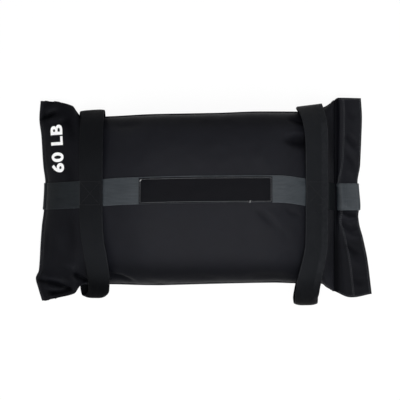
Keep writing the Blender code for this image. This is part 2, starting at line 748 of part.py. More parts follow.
def filler_rings(first, last, inset):
    """Rings of a filler bag along the body, between two poles, smaller all round by the inset."""
    low_x = mix(FOLD_CENTRE_X, ROOT_X, first)
    high_x = mix(FOLD_CENTRE_X, ROOT_X, last)
    middle, half = (low_x + high_x) / 2, (high_x - low_x) / 2 - inset
    rings = []
    for i in range(FILLER_ROWS):
        turn = math.pi * (i / (FILLER_ROWS - 1) - 0.5)
        x = middle + half * math.copysign(abs(math.sin(turn)) ** FILLER_CURVE, turn)
        fill = max(math.cos(turn), 0.0) ** FILLER_CURVE
        place = place_of(x)
        rings.append((x, place, fill))
    return rings


def filler_ring(x, place, fill, inset, floor):
    points = []
    for k in range(FILLER_COLUMNS):
        angle = 2 * math.pi * (k + 0.5) / FILLER_COLUMNS
        top = math.sin(angle) >= 0
        roundness = three_way(TOP_ROUNDNESS if top else BOTTOM_ROUNDNESS, place)
        height = rise(place) - LINER_INSET - inset if top else drop(place) - CLOTH - FIT - inset
        side = math.cos(angle)
        width = half_width(place, MIDDLE_Y + side, 0) - LINER_INSET - inset
        width -= LINER_MOUTH_ROOM if side > 0 else 0
        y = MIDDLE_Y + math.copysign(abs(side) ** (2 / roundness), side) * width * fill
        upright = math.copysign(abs(math.sin(angle)) ** (2 / roundness), math.sin(angle))
        z = seam_z(place) + upright * height * fill
        points.append((x, y, max(z, floor)))
    return points


def filler_mesh(name, first, last, inset, floor):
    """A closed pillow between two poles, and the band of faces along its upper long side."""
    mesh = bpy.data.meshes.new(name)
    build = bmesh.new()
    rings = filler_rings(first, last, inset)
    loops = [[build.verts.new(point) for point in filler_ring(*ring, inset, floor)]
             for ring in rings[1:-1]]
    band = []
    for loop, after in zip(loops, loops[1:]):
        for k in range(FILLER_COLUMNS):
            n = (k + 1) % FILLER_COLUMNS
            face = build.faces.new((loop[k], loop[n], after[n], after[k]))
            if n == 0:
                band.append(face)
    for ring, loop in ((rings[0], loops[0]), (rings[-1], loops[-1])):
        pole = build.verts.new((ring[0], MIDDLE_Y, seam_z(ring[1])))
        for k in range(FILLER_COLUMNS):
            build.faces.new((loop[k], loop[(k + 1) % FILLER_COLUMNS], pole))
    bmesh.ops.recalc_face_normals(build, faces=build.faces)
    return mesh, build, band


def make_closing_strip(name, neck, closing):
    """A strip that fills the pressed mouth of a filler bag, along the neck's points (x, y, z)."""
    room = LINER + 3 * FIT        # its ends stay clear of the neck's corners
    rows = []
    for x, y, z in neck:
        x = clamp(x, neck[0][0] + room, neck[-1][0] - room)
        z += CLOSING_STRIP / 2
        rows.append([(x, y - MOUTH_NECK / 2, z), (x, y - FIT, z)])
    sheet(name, rows, CLOSING_STRIP, closing, upwards)


def make_filler(number, shares, liner, sand, closing):
    """A pillow of sand in its own bag, with a mouth on the long side that a strip closes."""
    name = f"filler_{number}_liner"
    mesh, build, bands = filler_mesh(name, *shares, 0, CLOTH + FIT)
    side_band = bands[MOUTH_ROWS[0]:MOUTH_ROWS[1]]
    made = bmesh.ops.extrude_face_region(build, geom=side_band)
    ends = [item for item in made["geom"] if isinstance(item, bmesh.types.BMVert)]
    neck_y = max(vert.co.y for vert in ends) + MOUTH_NECK
    neck = []
    for vert in ends:
        middle_z = seam_z(place_of(vert.co.x))
        above = vert.co.z > middle_z
        vert.co.y = neck_y
        vert.co.z = middle_z + (MOUTH_SLIT / 2 if above else -MOUTH_SLIT / 2)
        if above:
            neck.append((vert.co.x, neck_y, middle_z))
    lids = [item for item in made["geom"] if isinstance(item, bmesh.types.BMFace)]
    bmesh.ops.delete(build, geom=lids, context="FACES")
    bmesh.ops.delete(build, geom=[face for face in side_band if face.is_valid], context="FACES")
    bmesh.ops.recalc_face_normals(build, faces=build.faces)
    build.to_mesh(mesh)
    build.free()
    bag = new_object(name, mesh, liner)
    solid = bag.modifiers.new("thickness", "SOLIDIFY")
    solid.thickness = LINER
    solid.offset = -1

    name = f"filler_{number}_sand"
    mesh, build, _ = filler_mesh(name, *shares, LINER + SAND_GAP, CLOTH + FIT + LINER + FIT)
    build.to_mesh(mesh)
    build.free()
    new_object(name, mesh, sand)

    make_closing_strip(f"filler_{number}_closing_strip", sorted(neck), closing)


def main():
    for old in list(bpy.data.objects):
        bpy.data.objects.remove(old, do_unlink=True)
    cloth = colour("black_cloth", 0.018, 0.018, 0.022, 0.78)
    strap = colour("black_webbing", 0.012, 0.012, 0.014, 0.70)
    webbing = colour("grey_webbing", 0.055, 0.063, 0.070, 0.72)
    woven = colour("label_weave", 0.010, 0.010, 0.013, 0.65)
    tape = colour("binding_tape", 0.030, 0.030, 0.034, 0.80)
    hook = colour("hook_tape", 0.020, 0.020, 0.022, 0.60)
    loop = colour("loop_tape", 0.022, 0.022, 0.024, 0.95)
    liner = colour("liner_cloth", 0.080, 0.085, 0.095, 0.65)
    sand = colour("sand", 0.480, 0.360, 0.220, 0.95)
    closing = colour("closing_strip", 0.040, 0.040, 0.045, 0.80)
    make_panels(cloth)
    make_seam_binding("upper_seam_binding", upper_seam_y, 1, tape)
    make_seam_binding("lower_seam_binding", lower_seam_y, -1, tape)
    make_mouth(cloth, hook, loop)
    make_long_webbing(webbing)
    make_mouth_webbing(webbing)
    make_label(woven)
    make_straps(strap)
    for number, shares in enumerate(FILLER_SHARES, 1):
        make_filler(number, shares, liner, sand, closing)


main()
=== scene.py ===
import json
import math

import bmesh
import bpy
import numpy as np
from mathutils import Matrix, Vector, noise


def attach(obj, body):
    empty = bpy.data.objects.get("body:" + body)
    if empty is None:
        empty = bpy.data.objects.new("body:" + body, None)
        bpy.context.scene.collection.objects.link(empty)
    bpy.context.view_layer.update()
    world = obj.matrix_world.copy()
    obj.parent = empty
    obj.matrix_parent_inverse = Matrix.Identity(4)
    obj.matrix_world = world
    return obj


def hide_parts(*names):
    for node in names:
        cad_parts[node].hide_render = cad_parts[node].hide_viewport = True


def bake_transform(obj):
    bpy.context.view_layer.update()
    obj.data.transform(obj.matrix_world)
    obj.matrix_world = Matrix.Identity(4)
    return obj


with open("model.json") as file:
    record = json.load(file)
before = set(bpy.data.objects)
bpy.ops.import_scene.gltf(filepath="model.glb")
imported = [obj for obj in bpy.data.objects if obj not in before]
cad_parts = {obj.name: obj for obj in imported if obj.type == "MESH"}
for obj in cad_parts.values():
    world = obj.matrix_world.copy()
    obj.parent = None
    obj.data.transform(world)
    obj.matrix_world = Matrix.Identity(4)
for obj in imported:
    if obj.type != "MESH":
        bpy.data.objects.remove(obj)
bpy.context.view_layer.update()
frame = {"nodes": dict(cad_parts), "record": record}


# the bag's shape, in metres, the same as the CAD solids
bag = {
    "length": 0.5415, "width": 0.318, "clothWidth": 0.372, "height": 0.128,
    "seamHeight": 0.054, "gap": 0.0006, "press": 0.002,
    "tail": 0.045, "foldRoom": 0.003, "floorClear": 0.0005, "earPoint": 0.0142,
    "topRound": (1.5, 2.5, 2.6), "bottomRound": (2.2, 3.4, 2.6),
    "leftShare": 0.4, "rightShare": 0.27, "bottomRightShare": 0.3, "edgeFade": 0.11,
    "topLeft": (2, 1.7), "topRight": (3, 2.2), "bottomLeft": 0.55, "bottomRight": 1.7,
    "upperBody": ((0, 0.96), (0.17, 0.955), (0.22, 0.958), (0.37, 0.981), (0.59, 0.995),
                  (0.74, 1.012), (0.87, 1.013), (1, 1.01)),
    "lowerBody": ((0, 1.0), (0.23, 1.001), (0.37, 1.009), (0.59, 0.992), (0.79, 0.98),
                  (0.87, 0.99), (1, 1.0)),
    "upperEar": ((0, 1.07), (0.05, 1.0), (0.095, 0.74), (0.108, 0.37), (0.126, 0), (0.9, 0),
                 (0.963, 0.33), (1, 0.8)),
    "lowerEar": ((0, 1.16), (0.05, 0.94), (0.1, 0.66), (0.123, 0.09), (0.15, 0), (0.956, 0),
                 (0.974, 0.25), (1, 0.5)),
    "foldEdge": ((-1, 0.18), (-0.88, 0.67), (-0.78, 1.0), (-0.7, 0.6), (-0.4, 0.345),
                 (-0.16, 0.1), (0.15, -0.13), (0.42, 0.1), (0.64, 0.27), (0.82, 0.53), (1, 0.37)),
    "flange": 0.0022,  # sewn edge that stands out flat along both sides
    "lumps": 0.0011,  # height of the soft lumps that the sand makes
    "webPull": 0.0017,  # how far the webbing draws in the folded end
    "webReach": (0.056, 0.03), "tailTaper": (0.046, 0.068),
}
lips = {
    "length": 0.049, "skew": 0.0207, "hem": 0.038, "rootZ": 0.022, "edgeZ": 0.0049, "tape": 0.001,
    "webPull": 0.0028,  # how far the webbing draws the edge in
    "gully": 0.0058,  # depth of the fold where the lips leave the body
    "upper": ((0, 0.8), (0.16, 0.99), (1, 0.97)), "lower": ((0, 0.5), (0.45, 0.93), (1, 0.69)),
    "fall": ((0, 1), (0.12, 0.95), (0.3, 0.64), (0.5, 0.36), (0.75, 0.13), (1, 0)),
    "edge": ((-1, 1.0), (-0.66, 0.63), (-0.42, 0.21), (-0.24, -0.15), (-0.08, -0.02),
             (0.16, -0.17), (0.35, -0.05), (0.6, 0.05), (0.82, 0.1), (1, 0)),
    "rows": 56, "columns": 190, "hemStep": 0.0018, "inside": -0.06, "lowest": 0.0009, "mostShade": 0.9,
    "waves": 0.0011, "deepest": -0.002, "rootRows": 18, "rootReach": 0.26, "tapeRows": 9, "tapeColumns": 96,
    "webReach": (0.058, 0.032), "gullyAt": (0.13, 0.075),
}
midY = 0.0055  # the bag lies a little above the middle
strapX = 0.413 / 2
cloth, webThick, webLift = 0.0012, 0.0016, 0.0005
clear = 0.0004  # least gap between pieces that touch
onWebbing = webLift + webThick + clear
threadLift = 0.00005  # how far stitches lie above what they are sewn through

frontOuter = bag["foldRoom"] / 2 + bag["gap"] + 2 * cloth
webInner = frontOuter + webLift
foldZ = bag["floorClear"] + webInner + webThick
foldSeamZ = foldZ + (bag["foldRoom"] + bag["gap"]) / 2 + cloth
foldX = bag["earPoint"] - (bag["earPoint"] + bag["length"] + lips["length"] + lips["skew"]) / 2
rootX = foldX + bag["length"]
foldCentreX = foldX + frontOuter
layer = bag["gap"] / 2 + cloth
tapesOff = bag["gap"] / 2 + lips["tape"] + clear
rise0 = bag["height"] - bag["seamHeight"]
ear = (bag["clothWidth"] - bag["width"]) / 2
hingeZ = lips["rootZ"] + layer


# curves and surfaces

def ramp(value, start, over):
    return np.clip((value - start) / over, 0.0, 1.0)


def ease(value, start=0.0, over=1.0):
    t = ramp(value, start, over)
    return t * t * (3 - 2 * t)


def bell(value, middle, width):
    return np.exp(-((value - middle) / width) ** 2)


def mix(a, b, t):
    return a + (b - a) * t


def unit(vectors):
    return vectors / np.maximum(np.linalg.norm(vectors, axis=-1, keepdims=True), 1e-12)


def runLength(points):
    steps = np.linalg.norm(np.diff(points, axis=0), axis=-1)
    return np.concatenate([0 * steps[:1], np.cumsum(steps, 0)])


def curveAt(table, places):
    xs, ys = np.array(table, float).T
    places = np.clip(np.asarray(places, float), xs[0], xs[-1])
    slopes = np.diff(ys) / np.diff(xs)
    product, total = slopes[:-1] * slopes[1:], slopes[:-1] + slopes[1:]
    inner = np.where(product > 0, 2 * product / np.where(np.abs(total) < 1e-12, 1.0, total), 0)
    tangents = np.concatenate([slopes[:1], inner, slopes[-1:]])
    i = np.clip(np.searchsorted(xs, places, side="right") - 1, 0, len(xs) - 2)
    width = xs[i + 1] - xs[i]
    t = (places - xs[i]) / width
    r = 1 - t
    return (ys[i] * (1 + 2 * t) * r * r + tangents[i] * width * t * r * r
            + ys[i + 1] * t * t * (3 - 2 * t) - tangents[i + 1] * width * t * t * r)


def threeWay(sizes, place):
    left, right = ease(place, 0, bag["leftShare"]), ease(1 - place, 0, bag["rightShare"])
    return mix(sizes[0], sizes[1], left) + mix(sizes[2], sizes[1], right) - sizes[1]


def placeOf(x):
    return ramp(np.asarray(x, float), foldCentreX, rootX - foldCentreX)


def reachY(word, place, ears=1.0):
    body0, corner = curveAt(bag[word + "Body"], place), curveAt(bag[word + "Ear"], place)
    return bag["width"] / 2 * body0 + ears * ear * corner


def halfWidth(place, side, ears=1.0):
    return np.where(np.asarray(side) >= 0, reachY("upper", place, ears), reachY("lower", place, ears))


def seamZ(place):
    return threeWay((foldSeamZ, bag["seamHeight"], lips["rootZ"]), place)


def endCap(place, reach, curve):
    return (1 - (1 - ramp(place, 0, reach)) ** curve[0]) ** (1 / curve[1])


def rise(place):
    left = endCap(place, bag["leftShare"], bag["topLeft"])
    return mix(layer, rise0, left * endCap(1 - place, bag["rightShare"], bag["topRight"]))


def sink(place):
    left = (1 - ramp(place, 0, bag["leftShare"])) ** bag["bottomLeft"]
    right = (1 - ramp(1 - place, 0, bag["bottomRightShare"])) ** bag["bottomRight"]
    drop = bag["press"] - layer
    return seamZ(place) + bag["press"] - (foldSeamZ + drop) * left - (lips["rootZ"] + drop) * right


def fullness(place):
    return np.clip(rise(place) / rise0, 0, 1)


def flangeAt(place):
    return bag["flange"] * ease(fullness(place), 0.35, 0.4)


def bulge(place, y, curve, flange=0.0):
    power, y = threeWay(bag[curve], place), np.asarray(y) - midY
    share = np.clip(np.abs(y) / (halfWidth(place, y) - flange), 0, 1)
    return (1 - share ** power) ** (1 / power)


def topZ(x, y):
    place = placeOf(x)
    return seamZ(place) + np.maximum(rise(place) * bulge(place, y, "topRound", flangeAt(place)), layer)


def underZ(x, y):
    place = placeOf(x)
    return np.maximum(seamZ(place) - sink(place) * bulge(place, y, "bottomRound"), 0)


# creases seen in the cloth, in millimetres: three points, then width, depth (plus is a ridge),
# the shares over which the two ends fade, and how much wider the far end is
creases = (
    # pulled in by the right strap, near the mouth
    (140, 113, 165, 112, 194, 110, 4.4, -8.5, 0.6, 0, 3.2),
    (140, 124, 165, 127, 192, 131, 5, 2.4, 0.6, 0, 1),
    (150, 152, 168, 149, 190, 143, 4, -3.2, 0.5, 0, 1),
    (112, 134, 150, 134, 190, 137, 6, 1.2, 0.6, 0.1, 1),
    # slack folds below the label
    (94, -10, 112, -27, 143, -56, 6.5, -2.6, 0.35, 0.6, 1),
    (110, -10, 130, -27, 158, -50, 8, 1.3, 0.4, 0.6, 1),
    (148, -10, 161, -20, 186, -28, 5, -1.5, 0.4, 0.4, 1),
    (60, -44, 74, -72, 80, -100, 10, -0.7, 0.5, 0.5, 1),
    # along the two long sides
    (-180, -133, -150, -139, -118, -153, 4, -3.4, 0.25, 0.4, 1),
    (-178, -126, -150, -131, -122, -143, 4.5, 1.8, 0.3, 0.5, 1),
    (-110, -144, -86, -149, -60, -151, 4, -1.5, 0.4, 0.5, 1),
    (-176, 142, -150, 138, -92, 143, 7, -2.0, 0.3, 0.6, 1),
    (-60, 146, 0, 142, 66, 148, 8, -0.9, 0.5, 0.5, 1),
    (60, -142, 110, -137, 178, -141, 7, -1.8, 0.5, 0.3, 1),
    (-40, -143, 0, -139, 50, -144, 7, -1.1, 0.5, 0.5, 1),
    # corners of the folded end
    (-306, 150, -292, 158, -268, 170, 4, -5.4, 0.05, 0.5, 1),
    (-300, 166, -282, 173, -262, 178, 6, 3.4, 0.3, 0.4, 1),
    (-292, 148, -272, 152, -254, 158, 5, 2.6, 0.3, 0.4, 1),
    (-312, -146, -276, -153, -244, -164, 3.6, -4.6, 0.05, 0.1, 1),
    (-310, -139, -276, -144, -248, -153, 4.5, 3.4, 0.2, 0.3, 1),
    (-298, -172, -270, -171, -242, -164, 3.4, -5.0, 0.3, 0.1, 1),
    (-304, -161, -276, -163, -252, -161, 3.5, 3.0, 0.2, 0.3, 1),
    (-244, -131, -234, -139, -218, -149, 4.6, -7.2, 0.35, 0, 1),
    (-266, -112, -248, -120, -232, -126, 6, 2.2, 0.5, 0.3, 1),
    (-262, 158, -248, 140, -238, 96, 9, -3.2, 0.2, 0.6, 1),
    (-252, 96, -245, 46, -247, 4, 9, -1.6, 0.5, 0.4, 1),
    (-246, -12, -244, -60, -240, -104, 9, -1.6, 0.4, 0.4, 1),
    (-294, 124, -294, 84, -292, 48, 6, -1.5, 0.5, 0.5, 1),
    (-290, -34, -292, -84, -298, -124, 7, -1.4, 0.5, 0.5, 1),
    (-270, -40, -264, -80, -262, -108, 8, 1.2, 0.5, 0.5, 1),
    (-276, 8, -262, 6, -238, 10, 4, -1.4, 0.3, 0.3, 1),
    # where the body sinks to the mouth
    (230, 168, 235, 130, 238, 56, 6, -2.4, 0.3, 0.4, 1),
    (228, -150, 235, -110, 238, -30, 6, -2.4, 0.3, 0.4, 1),
)
lipCreases = (
    (250, -12, 266, -20, 296, -30, 4.5, -4.4, 0.1, 0.2, 1),
    (250, -24, 268, -33, 292, -26, 4, 3.0, 0.2, 0.4, 1),
    (252, -38, 274, -50, 293, -44, 4.5, -3.2, 0.2, 0.3, 1),
    (254, -54, 276, -66, 298, -66, 5, 2.0, 0.3, 0.4, 1),
    (258, -74, 280, -92, 304, -100, 6, -2.0, 0.3, 0.5, 1),
    (262, -100, 284, -116, 308, -124, 8, 1.6, 0.4, 0.5, 1),
    (262, 128, 276, 112, 290, 102, 6, -2.6, 0.4, 0.4, 1),
    (258, 116, 272, 98, 290, 86, 6, 1.9, 0.4, 0.4, 1),
    (258, 92, 272, 80, 286, 62, 6, -1.6, 0.4, 0.4, 1),
    (262, 168, 276, 160, 292, 158, 7, -1.3, 0.4, 0.4, 1),
    (262, 60, 276, 52, 288, 50, 7, 1.3, 0.4, 0.4, 1),
    (272, -142, 290, -150, 306, -150, 7, -1.8, 0.4, 0.4, 1),
)


def creaseHeight(lines, x, y):
    x, y = np.asarray(x) * 1000, np.asarray(y) * 1000
    total = np.zeros(np.broadcast(x, y).shape)
    for *line, width, depth, fadeIn, fadeOut, flare in lines:
        points = np.reshape(line, (-1, 2))
        along = runLength(points)
        nearest, place = np.full(total.shape, 1e9), np.zeros(total.shape)
        for k in range(len(points) - 1):
            (ax, ay), (dx, dy) = points[k], points[k + 1] - points[k]
            t = np.clip(((x - ax) * dx + (y - ay) * dy) / (dx * dx + dy * dy), 0, 1)
            away = np.hypot(x - ax - t * dx, y - ay - t * dy)
            closer = away < nearest
            nearest = np.where(closer, away, nearest)
            place = np.where(closer, mix(along[k], along[k + 1], t) / along[-1], place)
        ends = (ease(place, 0, fadeIn) if fadeIn else 1) * (ease(1 - place, 0, fadeOut) if fadeOut else 1)
        total += depth / 1000 * bell(nearest, 0, width * mix(1.0, flare, place)) * ends
    return total


def softNoise(x, y, size, seed):
    x, y = np.broadcast_arrays(x, y)
    spots = zip(x.ravel(), y.ravel())
    values = [noise.noise(Vector((a / size + seed, b / size, seed * 0.37))) for a, b in spots]
    return np.array(values).reshape(x.shape)


def strapRoom(x):
    return ease(np.abs(np.abs(x) - strapX), 0.026, 0.012)  # no lumps where a strap may lie


def lumpHeight(x, y):
    place, across = placeOf(x), np.asarray(y) - midY
    inside = ease(1.02 - np.abs(across) / halfWidth(place, across), 0, 0.12)
    sizes = ((1, 0.062, 3.1), (0.5, 0.028, 7.7), (0.22, 0.013, 1.9))  # height, size and seed
    broad = sum(high * softNoise(x, y, size, seed) for high, size, seed in sizes)
    return (bag["lumps"] * broad * inside * ease(fullness(place), 0.2, 0.4)
            + 0.0004 * softNoise(x, y, 0.02, 5.0))


def clothHeight(x, y):
    height = lumpHeight(x, y) + creaseHeight(creases, x, y)
    return np.where(height > 0, height * strapRoom(x), height)


def topNormal(x, y, step=0.002):
    dx = topZ(x + step, y) - topZ(x - step, y)
    dy = topZ(x, y + step) - topZ(x, y - step)
    return unit(np.stack([-dx, -dy, 0 * dx + 2 * step], -1))


def onTop(x, y, off, lumpy=True):
    x, y = np.broadcast_arrays(np.asarray(x, float), np.asarray(y, float))
    lift = off + (clothHeight(x, y) if lumpy else 0 * x)
    return np.stack([x, y, topZ(x, y)], -1) + topNormal(x, y) * lift[..., None]


def foldShift(place, y):
    across = y - midY
    reach, fade = bag["webReach"]
    pulled = bag["webPull"] * ease(reach - np.abs(across - 0.004), 0, fade)
    edge = bag["earPoint"] * curveAt(bag["foldEdge"], across / halfWidth(place, across))
    return (pulled - edge) * (1 - ease(place, 0, bag["edgeFade"]))


# mesh makers

def linked(name, data):
    made = bpy.data.objects.new(name, data)
    bpy.context.scene.collection.objects.link(made)
    return made


def setUv(mesh, uv):
    corners = np.zeros(len(mesh.loops), np.int32)
    mesh.loops.foreach_get("vertex_index", corners)
    target = mesh.uv_layers.get("metres") or mesh.uv_layers.new(name="metres")
    target.data.foreach_set("uv", uv[corners].ravel().astype(np.float32))


def addMesh(name, verts, faces, uv=None, shape=None, **marks):
    mesh = bpy.data.meshes.new(name)
    mesh.from_pydata(np.asarray(verts).tolist(), [], np.asarray(faces).tolist())
    if uv is not None:
        setUv(mesh, np.resize(uv, (len(verts), 2)))
    for key, values in marks.items():
        if values is not None:
            values = np.resize(np.broadcast_to(values, shape), len(verts)).astype(np.float32)
            mesh.attributes.new(key, "FLOAT", "POINT").data.foreach_set("value", values)
    made = linked(name, mesh)
    mesh.shade_smooth()
    return made


def gridQuads(index):
    return np.stack([index[:-1, :-1], index[:-1, 1:], index[1:, 1:], index[1:, :-1]], -1).reshape(-1, 4)


def crossed(downwards, sideways):
    return np.broadcast_arrays(downwards[:, None], sideways)


def pairs(a, b):
    return np.stack(np.broadcast_arrays(a, b), -1)


def gridObject(name, points, facing, wear=None, shade=None):
    shape = points.shape[:2]
    quads = gridQuads(np.arange(points[..., 0].size).reshape(shape))
    flat = points.reshape(-1, 3)
    a, b, d = (flat[quads[:, k]] for k in (0, 1, 3))
    outward = np.broadcast_to(facing, points.shape).reshape(-1, 3)[quads[:, 0]]
    if (np.cross(b - a, d - a) * outward).sum() < 0:
        quads = quads[:, ::-1]
    across = runLength(points.swapaxes(0, 1)).T
    uv = pairs(runLength(points), across - across[:, -1:] / 2)
    return addMesh(name, flat, quads, uv, shape, wear=wear, shade=shade)


def gridNormals(points, facing):
    n = unit(np.cross(np.gradient(points, axis=0), np.gradient(points, axis=1)))
    return n if (n * facing).sum() > 0 else -n


def bandShares(columns, crowd=0.86):
    outer = crowd + (1 - crowd) * np.array([0.35, 0.65, 0.85, 0.95, 1.0])
    return np.concatenate([-outer[::-1], np.linspace(-crowd, crowd, columns), outer])


def bandObject(name, points, facing, thickness, uv, wear, rounded=0.0016, shade=0.0):
    # one closed strip of webbing, its long edges rounded over on the outer face
    n = gridNormals(points, facing)
    along = runLength(points.swapaxes(0, 1)).T
    edge = ramp(np.minimum(along, along[:, -1:] - along), 0, rounded)
    upper = points + n * (thickness * (0.3 + 0.7 * np.sqrt(np.clip(1 - (1 - edge) ** 2, 0, 1))))[..., None]
    shape, size = points.shape[:2], points[..., 0].size
    index = np.arange(size).reshape(shape)
    quads = [gridQuads(index)[:, ::-1], gridQuads(index + size)]
    for rim in (index[:, 0], index[-1, :], index[::-1, -1], index[0, ::-1]):
        quads.append(np.stack([rim[:-1], rim[1:], rim[1:] + size, rim[:-1] + size], -1))
    quads = np.concatenate(quads)
    if np.cross(points[0, 1] - points[0, 0], points[1, 0] - points[0, 0]) @ n[0, 0] < 0:
        quads = quads[:, ::-1]
    verts = np.concatenate([points, upper]).reshape(-1, 3)
    made = addMesh(name, verts, quads, uv, shape, wear=wear, shade=shade)
    made.data.set_sharp_from_angle(angle=math.radians(60))
    return made


def currentMesh(made):
    bpy.context.view_layer.update()
    return bpy.data.meshes.new_from_object(made.evaluated_get(bpy.context.evaluated_depsgraph_get()))


def applyAll(made):
    ready = currentMesh(made)
    made.modifiers.clear()
    made.data = ready
    ready.name = made.name
    ready.set_sharp_from_angle(angle=math.radians(60))


def thicken(made, thickness):
    solid = made.modifiers.new("thickness", "SOLIDIFY")
    solid.thickness, solid.offset = thickness, -1
    applyAll(made)
    return made


def follow(made, bodies):
    # one body's name to attach to; two names and two places are not used, and the piece is only baked where
    # it stands
    if isinstance(bodies, str):
        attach(made, bodies)
    else:
        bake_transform(made)


def dress(made, material, node, bodies="bag"):
    made.data.materials.append(material)
    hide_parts(node)
    follow(made, bodies)
    return made


# stitches: pitch, length and radius of the thread; a bead's rings: place, size and drop
threads = {"hem": (0.004, 0.003, 0.00034), "webbing": (0.0036, 0.0028, 0.00033),
           "label": (0.003, 0.0024, 0.00024), "tack": (0.0034, 0.0027, 0.00024),
           "end": (0.006, 0.0052, 0.00045), "sides": 6}
rings = ((-0.5, 0.35, -0.9), (-0.3, 0.9, -0.15), (0.0, 1.0, 0.1), (0.3, 0.9, -0.15), (0.5, 0.35, -0.9))


def threadRow(name, path, up, kind, material, bodies, double=0.0):
    # short beads of thread along a path, the two ends of each one sunk into the cloth
    pitch, length, radius = threads[kind]
    along, ups = runLength(path), np.broadcast_to(up, path.shape)
    count, sides = max(int(along[-1] / pitch), 1), threads["sides"]
    turns = np.arange(sides)[:, None] * 2 * math.pi / sides
    index = np.arange(len(rings) * sides).reshape(-1, sides)
    beadFaces = gridQuads(np.concatenate([index, index[:, :1]], 1))
    verts, faces = [], []
    for s in (np.arange(count) + 0.5) * along[-1] / count:
        centre, ahead, behind, up = (
            np.array([np.interp(at, along, line[:, axis]) for axis in range(3)])
            for at, line in ((s, path), (s + length / 2, path), (s - length / 2, path), (s, ups)))
        run = unit(ahead - behind)
        across = unit(np.cross(up, run))
        up = np.cross(run, across)
        for shift in ((-double / 2, double / 2) if double else (0.0,)):
            faces.append(beadFaces + len(verts))
            for t, size, drop in rings:
                middle = centre + run * t * length + across * shift + up * drop * radius
                verts.extend(middle + (across * np.cos(turns) + up * np.sin(turns)) * radius * size)
    made = addMesh(name, verts, np.concatenate(faces))
    made.data.materials.append(material)
    follow(made, bodies)


def strokes(corners, count, last=True):
    lines = zip(corners, corners[1:])
    return np.concatenate([np.linspace(a, b, count, endpoint=last) for a, b in lines])


square = np.array([(-1, -1), (1, -1), (1, 1), (-1, 1), (-1, -1)])

# materials: wiring holds the node tree that is being filled
wiring = {}


def feed(node, inputs):
    for key, value in inputs.items():
        socket = node.inputs[key]
        if isinstance(value, bpy.types.NodeSocket):
            wiring["tree"].links.new(value, socket)
        else:
            socket.default_value = (*value, 1) if socket.type == "RGBA" else value


def addNode(kind, inputs, **settings):
    made = wiring["tree"].nodes.new("ShaderNode" + kind)
    for key, value in settings.items():
        setattr(made, key, value)
    feed(made, inputs)
    return made


def newMaterial(name):
    made = bpy.data.materials.new(name)
    made.use_nodes = True
    wiring["tree"] = made.node_tree
    wiring["place"] = addNode("TexCoord", {}).outputs["Object"]
    return made, made.node_tree.nodes["Principled BSDF"]


def maths(kind, a, b=0.0):
    return addNode("Math", {0: a, 1: b}, operation=kind).outputs[0]


def plus(a, b):
    return maths("ADD", a, b)


def times(a, b):
    return maths("MULTIPLY", a, b)


def wave(value, pitch):
    return maths("SINE", times(value, 2 * math.pi / pitch))


def cloud(scale, detail=4.0, rough=0.55, coords=None):
    inputs = {"Vector": coords or wiring["place"], "Scale": scale, "Detail": detail, "Roughness": rough}
    return addNode("TexNoise", inputs).outputs["Fac"]


def cells(scale):
    return addNode("TexVoronoi", {"Vector": wiring["place"], "Scale": scale}).outputs["Distance"]


def tint(share, first, second):
    return addNode("Mix", {0: share, 6: first, 7: second}, data_type="RGBA").outputs[2]


def spread(value, low, high):
    return addNode("MapRange", {"Value": value, "From Min": low, "From Max": high}).outputs["Result"]


def bump(height, distance):
    return addNode("Bump", {"Height": height, "Distance": distance, "Strength": 1.0}).outputs["Normal"]


def scaled(colour, factor):
    return tuple(c * factor for c in colour)


def seenMix(share, plain, white):
    # what the camera, a glossy face or clear glass sees is whiter than what lights the bag
    rays = addNode("LightPath", {}).outputs
    clearRays = plus(rays["Is Glossy Ray"], rays["Is Transmission Ray"])
    seen = maths("MINIMUM", plus(rays["Is Camera Ray"], clearRays), 1.0)
    return addNode("MixShader", {0: times(seen, share), 1: plain, 2: white}).outputs[0]


def wovenMaterial(look):
    made, shader = newMaterial(look["name"])
    uv = addNode("UVMap", {}, uv_map="metres").outputs["UV"]
    split = addNode("SeparateXYZ", {0: uv}).outputs
    warp, weft = wave(split["Y"], look["warp"]), wave(split["X"], look["weft"])
    cloudy = cloud(look["cloudSize"], 5.0, 0.6)
    if look["weave"] == "plain":
        weave = times(warp, weft)
    elif look["weave"] == "ribbed":
        weave = plus(times(warp, 0.75), times(times(warp, weft), 0.6))
        streak = addNode("Mapping", {"Vector": uv, "Scale": (18.0, 420.0, 1.0)}).outputs["Vector"]
        cloudy = plus(times(cloudy, 0.4), times(cloud(1.0, 3.0, 0.6, streak), 0.6))  # along the ribs
    else:
        lean = plus(split["Y"], times(split["X"], 0.7))
        weave = plus(times(wave(lean, look["warp"]), 0.6), times(weft, 0.4))
    patches, grooves = spread(cloudy, 0.3, 0.7), spread(weave, -1.2, 1.2)
    colour = tint(patches, look["dark"], look["light"])
    colour = tint(grooves, tint(0.6, colour, scaled(look["dark"], look["groove"])), colour)
    # pale wear on edges, and painted highlights along the fold's edge and the right strap's margin
    paleWearAndHighlight = addNode("Attribute", {}, attribute_name="wear").outputs["Fac"]
    colour = tint(times(paleWearAndHighlight, spread(cloud(160.0), 0.35, 0.75)), colour, look["paleWearAndHighlight"])
    paintedShade = addNode("Attribute", {}, attribute_name="shade").outputs["Fac"]  # painted shade: darkens the colour and takes away the gloss
    fuzz, slubs = cloud(900.0, 2.0, 0.6), cloud(55.0)
    fine = plus(times(fuzz, look["relief"] * 0.8), times(slubs, look["slub"]))
    feed(shader, {
        "Base Color": tint(paintedShade, colour, scaled(look["dark"], 0.12)),
        "Roughness": plus(plus(look["rough"], times(patches, 0.08)), times(grooves, -0.05)),
        "Specular IOR Level": times(maths("SUBTRACT", 1.0, paintedShade), look["specular"]),
        "Sheen Weight": look.get("sheen", 0.0), "Sheen Roughness": 0.5,
        "Normal": bump(plus(times(weave, look["relief"]), fine), 1.0)})
    return made


